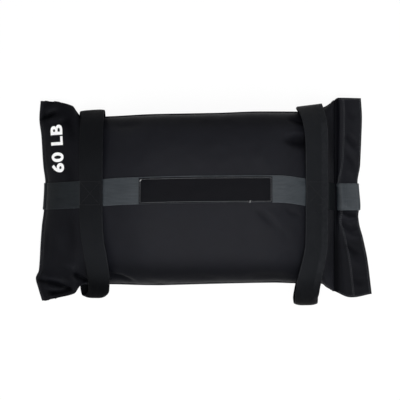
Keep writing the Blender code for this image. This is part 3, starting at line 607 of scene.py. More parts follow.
clothLook = {"name": "packCloth", "weave": "plain", "warp": 0.0011, "weft": 0.0011, "cloudSize": 26.0,
             "dark": (0.005, 0.0053, 0.0077), "light": (0.007, 0.0074, 0.0104),
             "paleWearAndHighlight": (0.026, 0.027, 0.031), "groove": 0.45, "rough": 0.5, "specular": 0.078,
             "relief": 0.00007, "slub": 0.00035}
strapLook = {"name": "blackWebbing", "weave": "twill", "warp": 0.0021, "weft": 0.0012, "cloudSize": 34.0,
             "dark": (0.006, 0.0068, 0.0084), "light": (0.0084, 0.0092, 0.011),
             "paleWearAndHighlight": (0.022, 0.023, 0.026), "groove": 0.5, "rough": 0.52, "specular": 0.06,
             "relief": 0.00011, "slub": 0.00012}
webLook = {"name": "greyWebbing", "weave": "ribbed", "warp": 0.0024, "weft": 0.0014, "cloudSize": 40.0,
           "dark": (0.012, 0.017, 0.022), "light": (0.034, 0.041, 0.048), "paleWearAndHighlight": (0.1, 0.11, 0.12),
           "groove": 0.4, "rough": 0.42, "specular": 0.26, "relief": 0.00016, "slub": 0.0001}
labelLook = {"name": "labelWeave", "weave": "plain", "warp": 0.0007, "weft": 0.0007, "cloudSize": 30.0,
             "dark": (0.0027, 0.0029, 0.004), "light": (0.0038, 0.004, 0.0055),
             "paleWearAndHighlight": (0.022, 0.023, 0.027), "groove": 0.6, "rough": 0.5, "specular": 0.035,
             "relief": 0.00005, "slub": 0.00008}
bindingLook = dict(strapLook, name="bindingTape", dark=(0.026, 0.026, 0.03), light=(0.034, 0.034, 0.038))
linerLook = dict(clothLook, name="linerCloth", dark=(0.07, 0.075, 0.085), light=(0.09, 0.095, 0.105))
loopLook = dict(clothLook, name="loopTape", warp=0.0009, weft=0.0013, dark=(0.018, 0.018, 0.02),
                light=(0.026, 0.026, 0.028), rough=0.85, sheen=0.2, relief=0.00025)
hookLook = dict(clothLook, name="hookTape", warp=0.0015, weft=0.0015, dark=(0.016, 0.016, 0.018),
                light=(0.021, 0.021, 0.023), rough=0.5, specular=0.4, relief=0.0003)
packCloth, blackWebbing, greyWebbing, labelWeave, bindingTape, linerCloth, loopTape, hookTape = map(
    wovenMaterial, (clothLook, strapLook, webLook, labelLook, bindingLook, linerLook, loopLook, hookLook))


def grainMaterial(name, low, high, rough, specular, texture, grains, depth, span=(0, 1)):
    # grains: scale of the colour, scale of the relief
    made, shader = newMaterial(name)
    feed(shader, {"Base Color": tint(spread(texture(grains[0]), *span), low, high), "Roughness": rough,
                  "Specular IOR Level": specular, "Normal": bump(texture(grains[1]), depth)})
    return made


def threadMaterial(name, colour):
    low, high = scaled(colour, 0.7), scaled(colour, 1.25)
    return grainMaterial(name, low, high, 0.6, 0.3, cloud, (400.0, 2500.0), 0.0002)


paleThread = threadMaterial("paleThread", (0.22, 0.225, 0.235))
hemThread = threadMaterial("hemThread", (0.05, 0.052, 0.057))
whiteThread = threadMaterial("whiteThread", (0.5, 0.5, 0.5))
blackThread = threadMaterial("blackThread", (0.008, 0.008, 0.01))
whiteInk = grainMaterial("whiteInk", (0.86, 0.86, 0.86), (0.96, 0.96, 0.96), 0.7, 0.5, cloud,
                         (300.0, 1200.0), 0.0002, (0.3, 0.8))
drySand = grainMaterial("drySand", (0.32, 0.23, 0.13), (0.58, 0.46, 0.3), 0.95, 0.5, cells,
                        (900.0, 900.0), 0.0006)
print("materials ready")


# cloth body: front and back panels, folded under at the left end
body = {"rows": 190, "frontColumns": 150, "backColumns": 84, "foldRows": 12, "tailRows": 8, "wear": 0.35,
        "endShade": 0.42, "earShade": 0.16, "highShade": 0.42, "lowShade": 0.48, "valleyShade": 0.3,
        "foldShade": 70.0, "mostShade": 0.92, "backLumps": 0.35, "endFade": (0.05, 0.06),
        "highFlank": (0.146, 0.014), "lowFlank": (-0.138, 0.02), "valley": (-0.03, 0.022)}


def bodyPlaces(count):
    i = np.arange(count) / (count - 1)  # rows stand closer together at both ends
    return 0.275 * (1 - np.cos(np.pi * i)) + 0.45 * i


def sectionRow(place, side, count):
    power = float(threeWay(bag["topRound" if side > 0 else "bottomRound"], place))
    height = rise(place) if side > 0 else sink(place)
    flange, level = flangeAt(place), seamZ(place) + side * bag["gap"] / 4
    angle = np.pi * (1 - np.arange(8 * count + 1) / (8 * count))
    across = np.sign(np.cos(angle)) * np.abs(np.cos(angle)) ** (2 / power)
    y = midY + across * (halfWidth(place, across) - flange)
    up = (height - bag["gap"] / 4) * np.maximum(np.sin(angle), 0) ** (2 / power)
    z = np.maximum(level + side * np.maximum(up, cloth), 0)
    along = runLength(np.column_stack([y, z]))
    even = np.linspace(0, along[-1], count + 1)
    y, z = np.interp(even, along, y), np.interp(even, along, z)
    out = np.array([1.0, 0.66, 0.33]) * flange + 1e-6
    rim = np.full(3, level + side * cloth)
    y = np.concatenate([y[0] - out, y, y[-1] + out[::-1]])
    return np.column_stack([y, np.concatenate([rim, z, rim])])


def panelPoints(side, columns):
    rows = []
    for place in bodyPlaces(body["rows"])[::-1]:
        row = sectionRow(place, side, columns)
        rows.append(np.column_stack([mix(foldCentreX, rootX, place) + foldShift(place, row[:, 0]), row]))
    points = np.array(rows)
    edgeX, edgeY, edgeZ = points[-1].T.copy()
    x, y, z = np.moveaxis(points, -1, 0)
    fade = ease(x - foldX, 0.001, 0.012)
    if side > 0:
        height = clothHeight(x, y)
    else:
        height = body["backLumps"] * lumpHeight(x, y) * strapRoom(x)
        fade = fade * ease(z, 0.001, 0.006)  # flat where it lies on the floor
    facing = np.stack([0 * y, y * 0.3, 0 * y + side], -1)
    extra = []
    for turn in math.pi * (0.5 + np.arange(1, body["foldRows"] + 1) / body["foldRows"]):
        arm = edgeZ - foldZ
        extra.append(np.column_stack([edgeX + arm * math.cos(turn), edgeY, foldZ + arm * math.sin(turn)]))
    taper = np.where(edgeY > midY, *bag["tailTaper"])
    for t in np.arange(1, body["tailRows"] + 1) / body["tailRows"]:
        tailY = midY + (edgeY - midY) * (1 - taper * t)
        extra.append(np.column_stack([edgeX + bag["tail"] * t, tailY, 2 * foldZ - edgeZ]))
    return np.concatenate([points + gridNormals(points, facing) * (height * fade)[..., None], extra])


def bodyShade(points):
    # painted shade: the pressed end, its corners, the flanks and the valley at the mouth are darker than
    # the crown, and the creases get painted shade in their valleys and painted light on their ridges
    fromEnd, y, fromMouth = points[..., 0] - foldX, points[..., 1] - midY, points[..., 0] - rootX
    end = body["endShade"] * (1 - ease(fromEnd, *body["endFade"]))
    end = end * ease(fromEnd - foldShift(0.0, y + midY), 0, 0.009)
    ears = body["earShade"] * ease(np.abs(y), 0.118, 0.03) * (1 - ease(fromEnd, 0.04, 0.03))
    flanks = body["highShade"] * bell(y, *body["highFlank"]) + body["lowShade"] * bell(y, *body["lowFlank"])
    flanks = flanks * ease(fromEnd, 0.06, 0.03) * (1 - ease(fromMouth, -0.03, 0.02))
    valley = body["valleyShade"] * ease(fromMouth, *body["valley"]) * (1 - 0.7 * ease(-y, 0.03, 0.05))
    folds = creaseHeight(creases, points[..., 0], points[..., 1]) * body["foldShade"]
    return np.clip(end + ears + valley + flanks - folds, 0, body["mostShade"])


def makePanel(name, node, side, columns):
    points = panelPoints(side, columns)
    x, y, z = np.moveaxis(points, -1, 0)
    wear = 0.5 * ramp(np.abs(np.linspace(-1, 1, y.shape[1])), 0.965, 0.03) + 0 * y  # the sewn edge
    wear[body["rows"] - 2:body["rows"] + body["foldRows"] - 2] += 0.5  # paler along the fold
    # painted highlight: a pale line along the fold's edge, where the turned cloth catches light
    wear += 0.9 * bell(x - foldX - foldShift(0.0, y), 0, 0.0035)
    facing = np.stack([0 * x, y - midY, np.where(x > foldX + 0.05, z - bag["seamHeight"], 0)], -1)
    made = gridObject(name, points, facing, wear * body["wear"], bodyShade(points) if side > 0 else None)
    dress(thicken(made, cloth), packCloth, node)
    return made


frontCloth = makePanel("frontCloth", "front_panel", 1, body["frontColumns"])
makePanel("backCloth", "back_panel", -1, body["backColumns"])
print("cloth body ready")


# mouth: two hemmed lips. Its ends stay sewn and only the middle of the front lip lifts, so that lip is made
# in two halves
mouth = {"shut": 0.166, "full": 0.05, "halves": (("Upper", 1), ("Lower", -1)), "flatLength": 0.063}
rootBend = ("bag", "mouth_flap", (rootX - 0.002, 0, hingeZ), (rootX + 0.012, 0, hingeZ))
halfBend = {half: ("mouth_flap", "front_lip", (rootX, midY + half * mouth["shut"], hingeZ),
                   (rootX, midY + half * mouth["full"], hingeZ)) for half in (1, -1)}


def lipLength(t):
    return lips["length"] + lips["skew"] * curveAt(lips["edge"], t)


def lipPoint(v, t):
    reach, fade = lips["webReach"]
    edgeX = rootX + lipLength(t) - lips["webPull"] * ease(reach - np.abs(t * 0.187 - 0.003), 0, fade)
    upper = reachY("upper", 1.0, 0) + ear * curveAt(lips["upper"], v)
    lower = reachY("lower", 1.0, 0) + ear * curveAt(lips["lower"], v)
    gully = lips["gully"] * (1 - 0.9 * ease(-t, 0.1, 0.4)) * bell(v, *lips["gullyAt"])
    z = mix(lips["edgeZ"], lips["rootZ"], curveAt(lips["fall"], v)) - gully
    return np.stack([mix(rootX + clear, edgeX, v), midY + t * np.where(t >= 0, upper, lower), z], -1)


def lipFace(v, t, off):
    v, t = np.broadcast_arrays(np.asarray(v, float), np.asarray(t, float))
    slope = lipPoint(np.minimum(v + 0.02, 1), t) - lipPoint(np.maximum(v - 0.02, 0), t)
    slope[..., 1] = 0
    slope = unit(slope)
    return lipPoint(v, t) + np.stack([-slope[..., 2], 0 * v, slope[..., 0]], -1) * (off + 0 * v)[..., None]


def hemStart(t):
    return 1 - lips["hem"] / lipLength(t)


def lipOff(v, t):
    return mix(layer, tapesOff + 2 * cloth, ease(v, hemStart(t) / 2, hemStart(t) / 2))


def lipFolds(v, t):
    flat = lipPoint(v, t)
    return creaseHeight(lipCreases, flat[..., 0], flat[..., 1])


def lipFront(v, t, extra=0.0):
    flat, fromHem = lipPoint(v, t), v - hemStart(t)
    step = lips["hemStep"] * ease(fromHem, 0, 0.03) * (0.6 + 0.4 * ease(fromHem, 0, 0.2))
    waves = lips["waves"] * softNoise(flat[..., 0], flat[..., 1], 0.03, 9.3) * ease(v, 0.2, 0.3)
    puff = np.maximum(lipFolds(v, t) * ease(v, 0, 0.15) + waves, lips["deepest"])
    return lipFace(v, t, lipOff(v, t) + step + puff + extra)


def lipSide(v, t, side, extra=0.0):
    return lipFront(v, t, extra) if side > 0 else lipFace(v, t, -lipOff(v, t) - extra)


def makeLip(name, node, side, half=0):
    first = lips["inside"] if side > 0 else 0.0  # the front lip starts inside the shell
    low, high, columns = (0, half, lips["columns"] // 2) if half else (-1, 1, lips["columns"])
    v, t = crossed(np.linspace(first, 1, lips["rows"]), np.linspace(low, high, columns))
    points = lipSide(v, t, side)
    points[..., 2] = np.maximum(points[..., 2], lips["lowest"])
    wear = ramp(v, 0.955, 0.03) * 0.8 + ramp(np.abs(t), 0.985, 0.01) * 0.5
    # painted shade: the lower half and the root of the lip darker, crease valleys darker and ridges lighter
    shade = 0.2 + 0.24 * ease(-t, 0.25, 0.25) + 0.4 * (1 - ease(v, 0.05, 0.2))
    shade = np.clip(shade - lipFolds(v, t) * body["foldShade"], 0, lips["mostShade"])
    made = thicken(gridObject(name, points, (0, 0, side), wear, shade if side > 0 else None), 1.9 * cloth)
    dress(made, packCloth, node, halfBend[half] if half else rootBend)


def makeRootCloth():
    # the inner layer at the root of the lips
    v = np.linspace(lips["inside"], lips["rootReach"], lips["rootRows"])
    v, t = crossed(v, np.linspace(-0.99, 0.99, lips["columns"]))
    # painted shade on the whole inner layer
    made = gridObject("lipRootCloth", lipFront(v, t, -0.5 * cloth), (0, 0, 1), shade=0.5)
    dress(thicken(made, 0.9 * cloth), packCloth, "front_lip", rootBend)


def makeLoopTape(word, half):
    t = half * np.linspace(0, 1 - 0.014 / 0.18, lips["tapeColumns"])
    v = 1 - (0.003 + 0.032 * (1 - np.linspace(0, 1, lips["tapeRows"])[:, None])) / lipLength(t)
    made = gridObject("loopTape" + word, lipFace(v, t, bag["gap"] / 2 + lips["tape"]), (0, 0, 1))
    dress(thicken(made, lips["tape"]), loopTape, "loop_tape", halfBend[half])


def lipStitches(name, v, t, side, bodies, double=0.0):
    threadRow(name, lipSide(v, t, side, 0.0001), (0.25 * side, 0, side), "hem", hemThread, bodies, double)


makeLip("backLip", "back_lip", -1)
for word, half in mouth["halves"]:
    makeLip("frontLip" + word, "front_lip", 1, half)
makeRootCloth()
for word, half in mouth["halves"]:
    makeLoopTape(word, half)
acrossLip, downLip = np.linspace(0.004, 0.985, 120), np.linspace(0.1, 0.97, 30)
hemRow, doubleRow = 0.055, 0.0022
for word, half in mouth["halves"]:
    t = half * acrossLip
    lipStitches("hemStitches" + word, hemStart(t) + hemRow, t, 1, halfBend[half], doubleRow)
    lipStitches("lipEdgeStitches" + word, 1 - 0.0026 / lips["length"] + 0 * t, t, 1, halfBend[half])
    lipStitches("lipSideStitches" + word, downLip, half * acrossLip[-1] + 0 * downLip, 1, "mouth_flap")
t = np.linspace(-0.985, 0.985, 240)
lipStitches("backHemStitches", hemStart(t) + hemRow, t, -1, "mouth_flap", doubleRow)
print("mouth ready")


# lengthwise webbing, its stretch on the lip, and the label
webbing = {"width": 0.05, "bow": 0.02, "end": 0.0115, "lipThick": 0.0012,
           "columns": 20, "rows": 150, "foldRows": 10, "tailRows": 6, "lipRows": 25,
           "lipShade": 0.4, "lipShadeFrom": 0.006, "lipShadeOver": 0.004,
           "shade": ((-0.003, 0.3), (0.002, 0.6), (0.012, 0.78), (0.04, 0.7), (0.066, 0.66),
                     (0.085, 0.05), (0.5, 0), (0.512, 0.1), (0.53, 0.93)),
           "bowTable": ((0, 0.2), (0.1, 0.32), (0.28, 0.66), (0.55, 0.83), (0.8, 0.86), (0.93, 0.42),
                        (1, 0.15))}
webShares = bandShares(webbing["columns"])
webAcross = webShares * webbing["width"] / 2


def edgeWear(shares):
    return 0.55 * ramp(np.abs(shares), 0.93, 0.05)


def webY(place):
    return midY + webbing["bow"] * curveAt(webbing["bowTable"], place)


def makeLongWebbing():
    rows = []
    for place in bodyPlaces(webbing["rows"])[:0:-1]:
        y = webY(place) + webAcross
        spot = onTop(mix(foldCentreX, rootX, place), y, webLift)
        spot[:, 0] += foldShift(place, y)
        if place < 0.5 or spot[:, 2].min() > hingeZ + webbing["end"]:
            rows.append(spot)
    y = webY(0.0) + webAcross
    x = foldCentreX + foldShift(0.0, y)
    for turn in math.pi * np.linspace(0.5, 1.5, webbing["foldRows"] + 1):
        z = foldZ + webInner * math.sin(turn) + 0 * y
        rows.append(np.column_stack([x + webInner * math.cos(turn), y, z]))
    for t in np.linspace(0, 1, webbing["tailRows"] + 1)[1:]:
        rows.append(np.column_stack([x + bag["tail"] * t, y, foldZ - webInner + 0 * y]))
    points = np.array(rows)
    facing = np.stack([0 * points[..., 0], 0 * points[..., 0], points[..., 0] > foldX + 0.03], -1)
    uv = pairs(runLength(points[:, len(webShares) // 2])[:, None], webAcross)
    # painted shade: the webbing is darkened over the folded end and deepest in the valley at the mouth
    made = bandObject("longWebbing", points, facing, webThick, uv, edgeWear(webShares),
                      shade=curveAt(webbing["shade"], points[..., 0] - foldX))
    dress(made, greyWebbing, "long_webbing")


def makeMouthWebbing():
    y = webY(1.0) + webAcross
    t = (y - midY) / reachY("upper", 1.0)
    shares = np.linspace(0, 1, webbing["lipRows"] + 1)
    rows = [lipFront(mix(hemStart(t) * 0.45, 1.0, share), t, 0.0006) for share in shares]
    for row in rows:
        row[:, 1] = y
    last = rows[-1]
    for dx, dz in ((0.0008, -0.0003), (0.0012, -0.0012), (0.0011, -0.0024)):  # over the lip's edge
        rows.append(last + np.array([dx, 0, dz]))
    points = np.array(rows)
    uv = pairs(points[:, len(webShares) // 2, :1], webAcross)
    away = points[..., 0] - points[0, :, 0].min()
    # painted shade where the webbing rises out of the valley onto the lip
    shade = webbing["lipShade"] * (1 - ease(away, webbing["lipShadeFrom"], webbing["lipShadeOver"]))
    made = bandObject("mouthWebbing", points, (0.2, 0, 1.0), webbing["lipThick"], uv,
                      edgeWear(webShares), shade=shade)
    dress(made, greyWebbing, "mouth_webbing", "front_lip")
    for word, row in (("Outer", -6), ("Inner", 9)):
        path = points[row][4:-4] + np.array([0, 0, webbing["lipThick"] + threadLift])
        threadRow(f"mouthWebbing{word}Stitches", path, (0.25, 0, 1), "webbing", hemThread, "front_lip")


makeLongWebbing()
makeMouthWebbing()

label = {"length": 0.2425, "height": 0.0474, "down": 0.0009, "x": 0.0037, "thick": 0.0008, "border": 0.0024,
         "columns": 120, "rows": 28, "pull": 0.0003, "pullWidth": 0.0011, "wornEdge": 0.0012,
         "ends": (("threadEndLeft", -0.1165, 0.37, 0.9), ("threadEndRight", 0.0845, -0.5, 0.2))}


def labelSpot(x, share, off):
    y = webY(placeOf(x)) - label["down"] + share * label["height"]
    return onTop(x, y, webLift + webThick + 2 * clear + off)


def makeLabel():
    xs = label["x"] + label["length"] * np.linspace(-0.5, 0.5, label["columns"])
    x, share = crossed(xs, np.linspace(-0.5, 0.5, label["rows"]))
    points = labelSpot(x, share, 0.0)
    rim = np.minimum((0.5 - np.abs(share)) * label["height"], label["length"] / 2 - np.abs(x - label["x"]))
    points[..., 2] -= label["pull"] * bell(rim, label["border"], label["pullWidth"])  # by its stitches
    made = bandObject("labelPatch", points, (0, 0, 1), label["thick"], pairs(x, share * label["height"]),
                      0.9 * ramp(label["wornEdge"] - rim, 0, label["wornEdge"]), label["thick"])
    dress(made, labelWeave, "label_patch")
    inset = (label["length"] / 2 - label["border"], 0.5 - label["border"] / label["height"])
    px, ps = strokes(square * inset, 50, False).T
    path = labelSpot(label["x"] + px, ps, label["thick"] + threadLift)
    threadRow("labelStitches", path, (0, 0, 1), "label", paleThread, "bag")
    for name, x0, share, lean in label["ends"]:
        path = labelSpot(x0 + lean * np.array([0, 0.0022, 0.0044]), share + np.array([0, 0.03, 0.075]),
                         label["thick"] + 0.0003)
        threadRow(name, path, (0, 0, 1), "end", whiteThread, "bag")


makeLabel()
print("webbing and label ready")


# girth straps: a sewn tack front and back, and four grip loops that swing about the tacks
straps = {"width": 0.05, "thick": 0.002, "tackRadius": 0.0349, "gripRadius": 0.035, "pivotY": 0.0148,
          "clearance": 0.0016, "stations": 136, "rows": 110, "columns": 18, "margin": 0.0042,
          "bendFrom": 0.036, "bendOver": 0.044, "mostLift": 0.016, "liftStep": 0.0004,
          "stitches": (0.019, 0.021), "tackRows": 44, "swingSteps": 6, "smooth": 5,
          "shift": ((0, 0), (0.16, 0), (0.45, 1), (0.54, 1), (0.72, 0), (1, 0))}
grips = {
    ("left", "upper"): {
        "slack": 0.0115, "shift": 0.0, "swing": (-6, 0),
        "lean": (-0.001, 0.0013), "narrow": 0.05, "cup": 0.002,
        "shade": ((0, 0.25), (0.25, 0.45), (0.5, 0.5), (1, 0.3))},
    ("left", "lower"): {
        "slack": 0.024, "shift": 0.0125, "swing": (-3, 6),
        "lean": (0, 0), "narrow": 0.17, "cup": 0.006,
        "bend": ((0, 0), (0.05, 0), (0.134, 0.18), (0.19, 0.58), (0.287, 0.94), (0.4, 0.86), (0.5, 0.4),
                 (0.72, 0), (1, 0)),
        "shade": ((0, 0.25), (0.22, 0.08), (0.32, 0.3), (0.42, 0.8), (0.55, 0.8), (1, 0.3))},
    ("right", "upper"): {
        "slack": 0.0118, "shift": -0.01, "swing": (0, 6),
        "lean": (-0.0019, 0.0032), "narrow": 0.0, "cup": 0.0,
        "shade": ((0, 0), (0.3, 0.0), (0.5, 0.2), (1, 0.3))},
    ("right", "lower"): {
        "slack": 0.0375, "shift": -0.017, "swing": (-6, 0),
        "lean": (0, 0), "narrow": 0.14, "cup": 0.004,
        "bend": ((0, 0), (0.1, 0.03), (0.165, 0.34), (0.256, 0.78), (0.4, 1), (0.62, 1), (0.76, 0.6),
                 (0.88, 0.05), (1, 0)),
        "shade": ((0, 0), (0.26, 0.0), (0.38, 0.5), (0.5, 0.7), (1, 0.3))},
}
strapShares = bandShares(straps["columns"])
halfStrap = straps["width"] / 2


def depthOutside(x, y, z):
    place, across = placeOf(x), y - midY
    up = z - seamZ(place)
    height = np.where(up >= 0, rise(place), sink(place))
    power = np.where(up >= 0, threeWay(bag["topRound"], place), threeWay(bag["bottomRound"], place))
    shares = np.abs(across / halfWidth(place, across)) ** power + np.abs(up / height) ** power
    level = shares ** (1 / power)
    return (level - 1) / np.maximum(level, clear) * np.hypot(across, up)


def strapSpot(x, side, reach, angle, lift):
    place = placeOf(x)
    power = threeWay(bag["topRound" if angle >= 0 else "bottomRound"], place)
    height = rise(place) + onWebbing if angle >= 0 else sink(place) + clear
    across = (reach + lift) * np.abs(np.cos(angle)) ** (2 / power)
    upright = np.sign(angle) * (height + lift) * np.abs(np.sin(angle)) ** (2 / power)
    return midY + side * across, seamZ(place) + upright


def flatHalf(slope):
    return halfStrap * math.cos(math.atan2(abs(slope), straps["width"]))  # seen from above


def gripPath(grip, pivotX, side):
    count = straps["stations"]
    widest = max(float(halfWidth(placeOf(pivotX + s * halfStrap), side, 0)) for s in (-1, 0, 1))
    reach = widest + grip["slack"]
    shares = np.arange(count + 1) / count
    middles = pivotX + grip["shift"] * curveAt(grip.get("bend", straps["shift"]), shares)
    swings = np.radians(np.linspace(*grip["swing"], straps["swingSteps"]))[:, None]
    edges = np.array([-1, 0, 1])

    def edgesAt(angle, middle, lift):
        low, high = (strapSpot(middle + s * halfStrap, side, reach, angle, lift)[1] for s in (-1, 1))
        x = middle + edges * flatHalf(high - low)
        slant = (grip["lean"][0] + edges * grip["lean"][1]) * math.cos(angle) ** 2
        return x, *strapSpot(x, side, reach + slant, angle, lift)

    def room(x, y, z):
        # least distance from the bag over the swing
        over, along = x - pivotX, y - straps["pivotY"]
        turns = swings * ramp(np.abs(along), straps["bendFrom"], straps["bendOver"])
        c, s = np.cos(turns), np.sin(turns)
        return depthOutside(pivotX + over * c - along * s, straps["pivotY"] + over * s + along * c, z).min()

    angles, lifts = math.pi * (0.5 - shares), []
    for angle, middle in zip(angles, middles):
        lift = 0.0
        while lift < straps["mostLift"] and room(*edgesAt(angle, middle, lift)) < straps["clearance"]:
            lift += straps["liftStep"]
        lifts.append(lift)
    near = straps["smooth"]
    for level in (np.max, np.mean):
        lifts = [level(lifts[max(0, i - near):i + near + 1]) for i in range(count + 1)]
    return np.array([np.stack(edgesAt(*spot), -1) for spot in zip(angles, middles, lifts)])


def strapColumns(path, pivotX):
    # spreads rows between the two round ends, with its own start for each column
    radius, columns = straps["gripRadius"], []
    low, middle, high = np.moveaxis(path, 1, 0)
    for share in strapShares:
        line = middle + (high - middle if share >= 0 else middle - low) * share
        away = np.hypot(line[:, 0] - pivotX, line[:, 1] - straps["pivotY"])
        along = runLength(line)
        outside = np.nonzero(away > radius)[0]
        first, last = outside[0], outside[-1]
        start = np.interp(radius, away[first - 1:first + 1], along[first - 1:first + 1])
        end = np.interp(-radius, -away[last:last + 2], along[last:last + 2])
        places = np.linspace(start, end, straps["rows"])
        columns.append(np.stack([np.interp(places, along, line[:, axis]) for axis in range(3)], 1))
    return np.stack(columns, 1)


def raisedMargin(points, sign, facing):
    # the outer margin of the right strap stands up a little where it rolls over the shoulder
    if sign < 0:
        return points
    n = gridNormals(points, facing)
    lift = straps["margin"] * ramp(strapShares, 0.52, 0.48) + 0.0005 * ease(strapShares, 0.52, 0.06)
    return points + n * (lift * ease(n[:, :1, 2], 0.35, 0.4))[..., None]


def strapWearAndHighlight(sign):
    # pale worn edges, plus a painted highlight along the right strap's raised margin
    return edgeWear(strapShares) + 0.3 * ramp(strapShares, 0.5, 0.04) * (sign > 0)


def cupped(points, grip, facing, far):
    # at its far end a loop is a little hollow, so it looks narrower there
    near = bell(far, 0.47, 0.13)[..., None]
    middle = points[:, len(strapShares) // 2][:, None]
    inward = gridNormals(points, facing) * (grip["cup"] * strapShares ** 4)[:, None]
    return middle + (points - middle) * (1 - grip["narrow"] * near) - inward * near


def makeGrip(word, part, grip):
    sign, side = -1 if word == "left" else 1, 1 if part == "upper" else -1
    pivotX, node = sign * strapX, f"{word}_{part}_grip"
    points = strapColumns(gripPath(grip, pivotX, side), pivotX)
    facing = (points - np.array([0, midY, bag["seamHeight"]])) * (0, 1, 1)
    far = np.linspace(0, 1, straps["rows"])[:, None]
    raised = raisedMargin(cupped(points, grip, facing, far), sign, facing)
    uv = pairs(runLength(points[:, len(strapShares) // 2])[:, None], strapShares * halfStrap)
    # painted shade along each loop, heaviest around its outer turn
    wear, shade = strapWearAndHighlight(sign) + 0.35 * bell(far, 0.5, 0.12), curveAt(grip["shade"], far)
    made = bandObject(f"{word}{part.title()}Grip", raised, facing, straps["thick"], uv, wear, shade=shade)
    near = straps["pivotY"] + side * straps["bendFrom"]  # places next to its tack, passed on but not used
    start, end = ((pivotX, y, bag["seamHeight"]) for y in (near, near + side * straps["bendOver"]))
    dress(made, blackWebbing, node, ("bag", node, start, end))
    return points[0, :, 2], points[-1, :, 2]


def makeTack(front, sign):
    pivotX, pivotY = sign * strapX, straps["pivotY"]
    word, side0 = "left" if sign < 0 else "right", "front" if front else "back"
    surface = topZ if front else underZ
    slope = float(surface(pivotX + halfStrap, pivotY) - surface(pivotX - halfStrap, pivotY))
    xs = strapShares * flatHalf(slope)
    reach = np.sqrt(straps["tackRadius"] ** 2 - xs ** 2)
    away = np.linspace(-1, 1, straps["tackRows"])[:, None]
    x, y = np.broadcast_arrays(pivotX + xs, pivotY + away * reach)
    z = onTop(x, y, onWebbing + clear, lumpy=False)[..., 2] if front else underZ(x, y) - clear
    for part, side in (("upper", 1), ("lower", -1)):  # meets the grips at their own height
        target = gripEnds[word, part][0 if front else 1]
        z = z + ease(away * side, 0.25, 0.75) * (target - z[-1 if side > 0 else 0])
    points = np.stack([x, y, z], -1)
    facing = np.array([0, 0, 1 if front else -1])
    name = f"{word}{side0.title()}Tack"
    raised = raisedMargin(points, sign, facing)
    # painted shade: the left strap's tacks are darkened
    made = bandObject(name, raised, facing, straps["thick"], pairs(y - pivotY, xs), strapWearAndHighlight(sign),
                      shade=0.25 if sign < 0 else 0.0)
    dress(made, blackWebbing, f"{word}_{side0}_tack")
    if front:  # box stitch with a cross, black on black
        for k, line in enumerate((square, square[[0, 2]], square[[3, 1]])):
            px, py = (strokes(line * straps["stitches"], 16) + (pivotX, pivotY)).T
            path = onTop(px, py, onWebbing + clear + straps["thick"] + threadLift, lumpy=False)
            threadRow(f"{name}Stitches{k + 1}", path, topNormal(px, py), "tack", blackThread, "bag")


gripEnds = {key: makeGrip(*key, grip) for key, grip in grips.items()}
for front in (True, False):
    for sign in (-1, 1):
        makeTack(front, sign)
print("straps ready")


# weight mark on the left end: plain block figures
mark = {"words": "60 LB", "length": 0.0886, "height": 0.023, "centre": (-0.2714, 0.098), "lean": 93.0,
        "bold": 0.034, "cut": 0.003, "lift": 0.0003, "thick": 0.0002}


def markMesh():
    curve = bpy.data.curves.new("weightMark", "FONT")
    curve.body = mark["words"]
    curve.size, curve.space_character, curve.space_word, curve.resolution_u = 1.0, 1.12, 0.8, 6
    text = linked("weightMarkDraft", curve)
    mesh = currentMesh(text)
    bpy.data.objects.remove(text)
    return mesh


def embolden(build):
    moves = {}
    for edge in build.edges:
        if edge.is_boundary:
            a, b = edge.verts
            out = (b.co - a.co).normalized().cross(Vector((0, 0, 1)))
            if out.dot(edge.link_faces[0].calc_center_median() - a.co) > 0:
                out = -out
            for v in edge.verts:
                moves.setdefault(v, []).append(out)
    for v, outs in moves.items():
        total = sum(outs, Vector()) / len(outs)
        v.co += total * mark["bold"] / max(total.length_squared, 0.45)


def makeMark():
    mesh = markMesh()
    build = bmesh.new()
    build.from_mesh(mesh)
    bmesh.ops.remove_doubles(build, verts=build.verts, dist=0.0005)
    embolden(build)
    size = (mark["length"], mark["height"])
    corners = np.array([v.co for v in build.verts])
    low, high = corners.min(0), corners.max(0)
    for v in build.verts:  # in the box of the words
        v.co = [((v.co[a] - low[a]) / (high[a] - low[a]) - 0.5) * size[a] for a in (0, 1)] + [0]
    for axis, reach in enumerate(size):  # cut fine enough to follow the cloth
        for k in range(1, int(reach / mark["cut"])):
            spot, normal = [0, 0, 0], [0, 0, 0]
            spot[axis], normal[axis] = k * mark["cut"] - reach / 2, 1
            parts = build.verts[:] + build.edges[:] + build.faces[:]
            bmesh.ops.bisect_plane(build, geom=parts, plane_co=spot, plane_no=normal)
    turn = Matrix.Rotation(math.radians(mark["lean"]), 4, "Z")
    under = frontCloth.evaluated_get(bpy.context.evaluated_depsgraph_get())
    back = under.matrix_world.inverted()
    for v in build.verts:
        spot = turn @ v.co + Vector((*mark["centre"], 0.4))
        hit, spot, normal, face = under.ray_cast(back @ spot, Vector((0, 0, -1)))
        v.co = under.matrix_world @ (spot + normal * mark["lift"])
    bmesh.ops.recalc_face_normals(build, faces=build.faces)
    if sum(f.normal.z for f in build.faces) < 0:
        bmesh.ops.reverse_faces(build, faces=build.faces)
    build.to_mesh(mesh)
    build.free()
    mesh.name = "weightMark"
    mesh.materials.clear()
    mesh.materials.append(whiteInk)
    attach(thicken(linked("weightMark", mesh), mark["thick"]), "bag")


makeMark()
print("weight mark ready")


# pieces inside: softened copies of their solids
fillers = (1, 2, 3)
insidePieces = {"hook_tape": ("hookTapePiece", hookTape, "hook_tape")}
for word in ("upper", "lower"):
    insidePieces[word + "_seam_binding"] = (word + "Binding", bindingTape, "binding_tape")
for number in fillers:
    insidePieces[f"filler_{number}_liner"] = (f"fillerBag{number}", linerCloth, "liner_cloth")
    insidePieces[f"filler_{number}_closing_strip"] = (
        f"fillerClosing{number}", bindingTape, "closing_strip")
bodies = frame["record"]["behaviour"]["bodies"]
bodyOf = {node: name for name, members in bodies.items() for node in members}


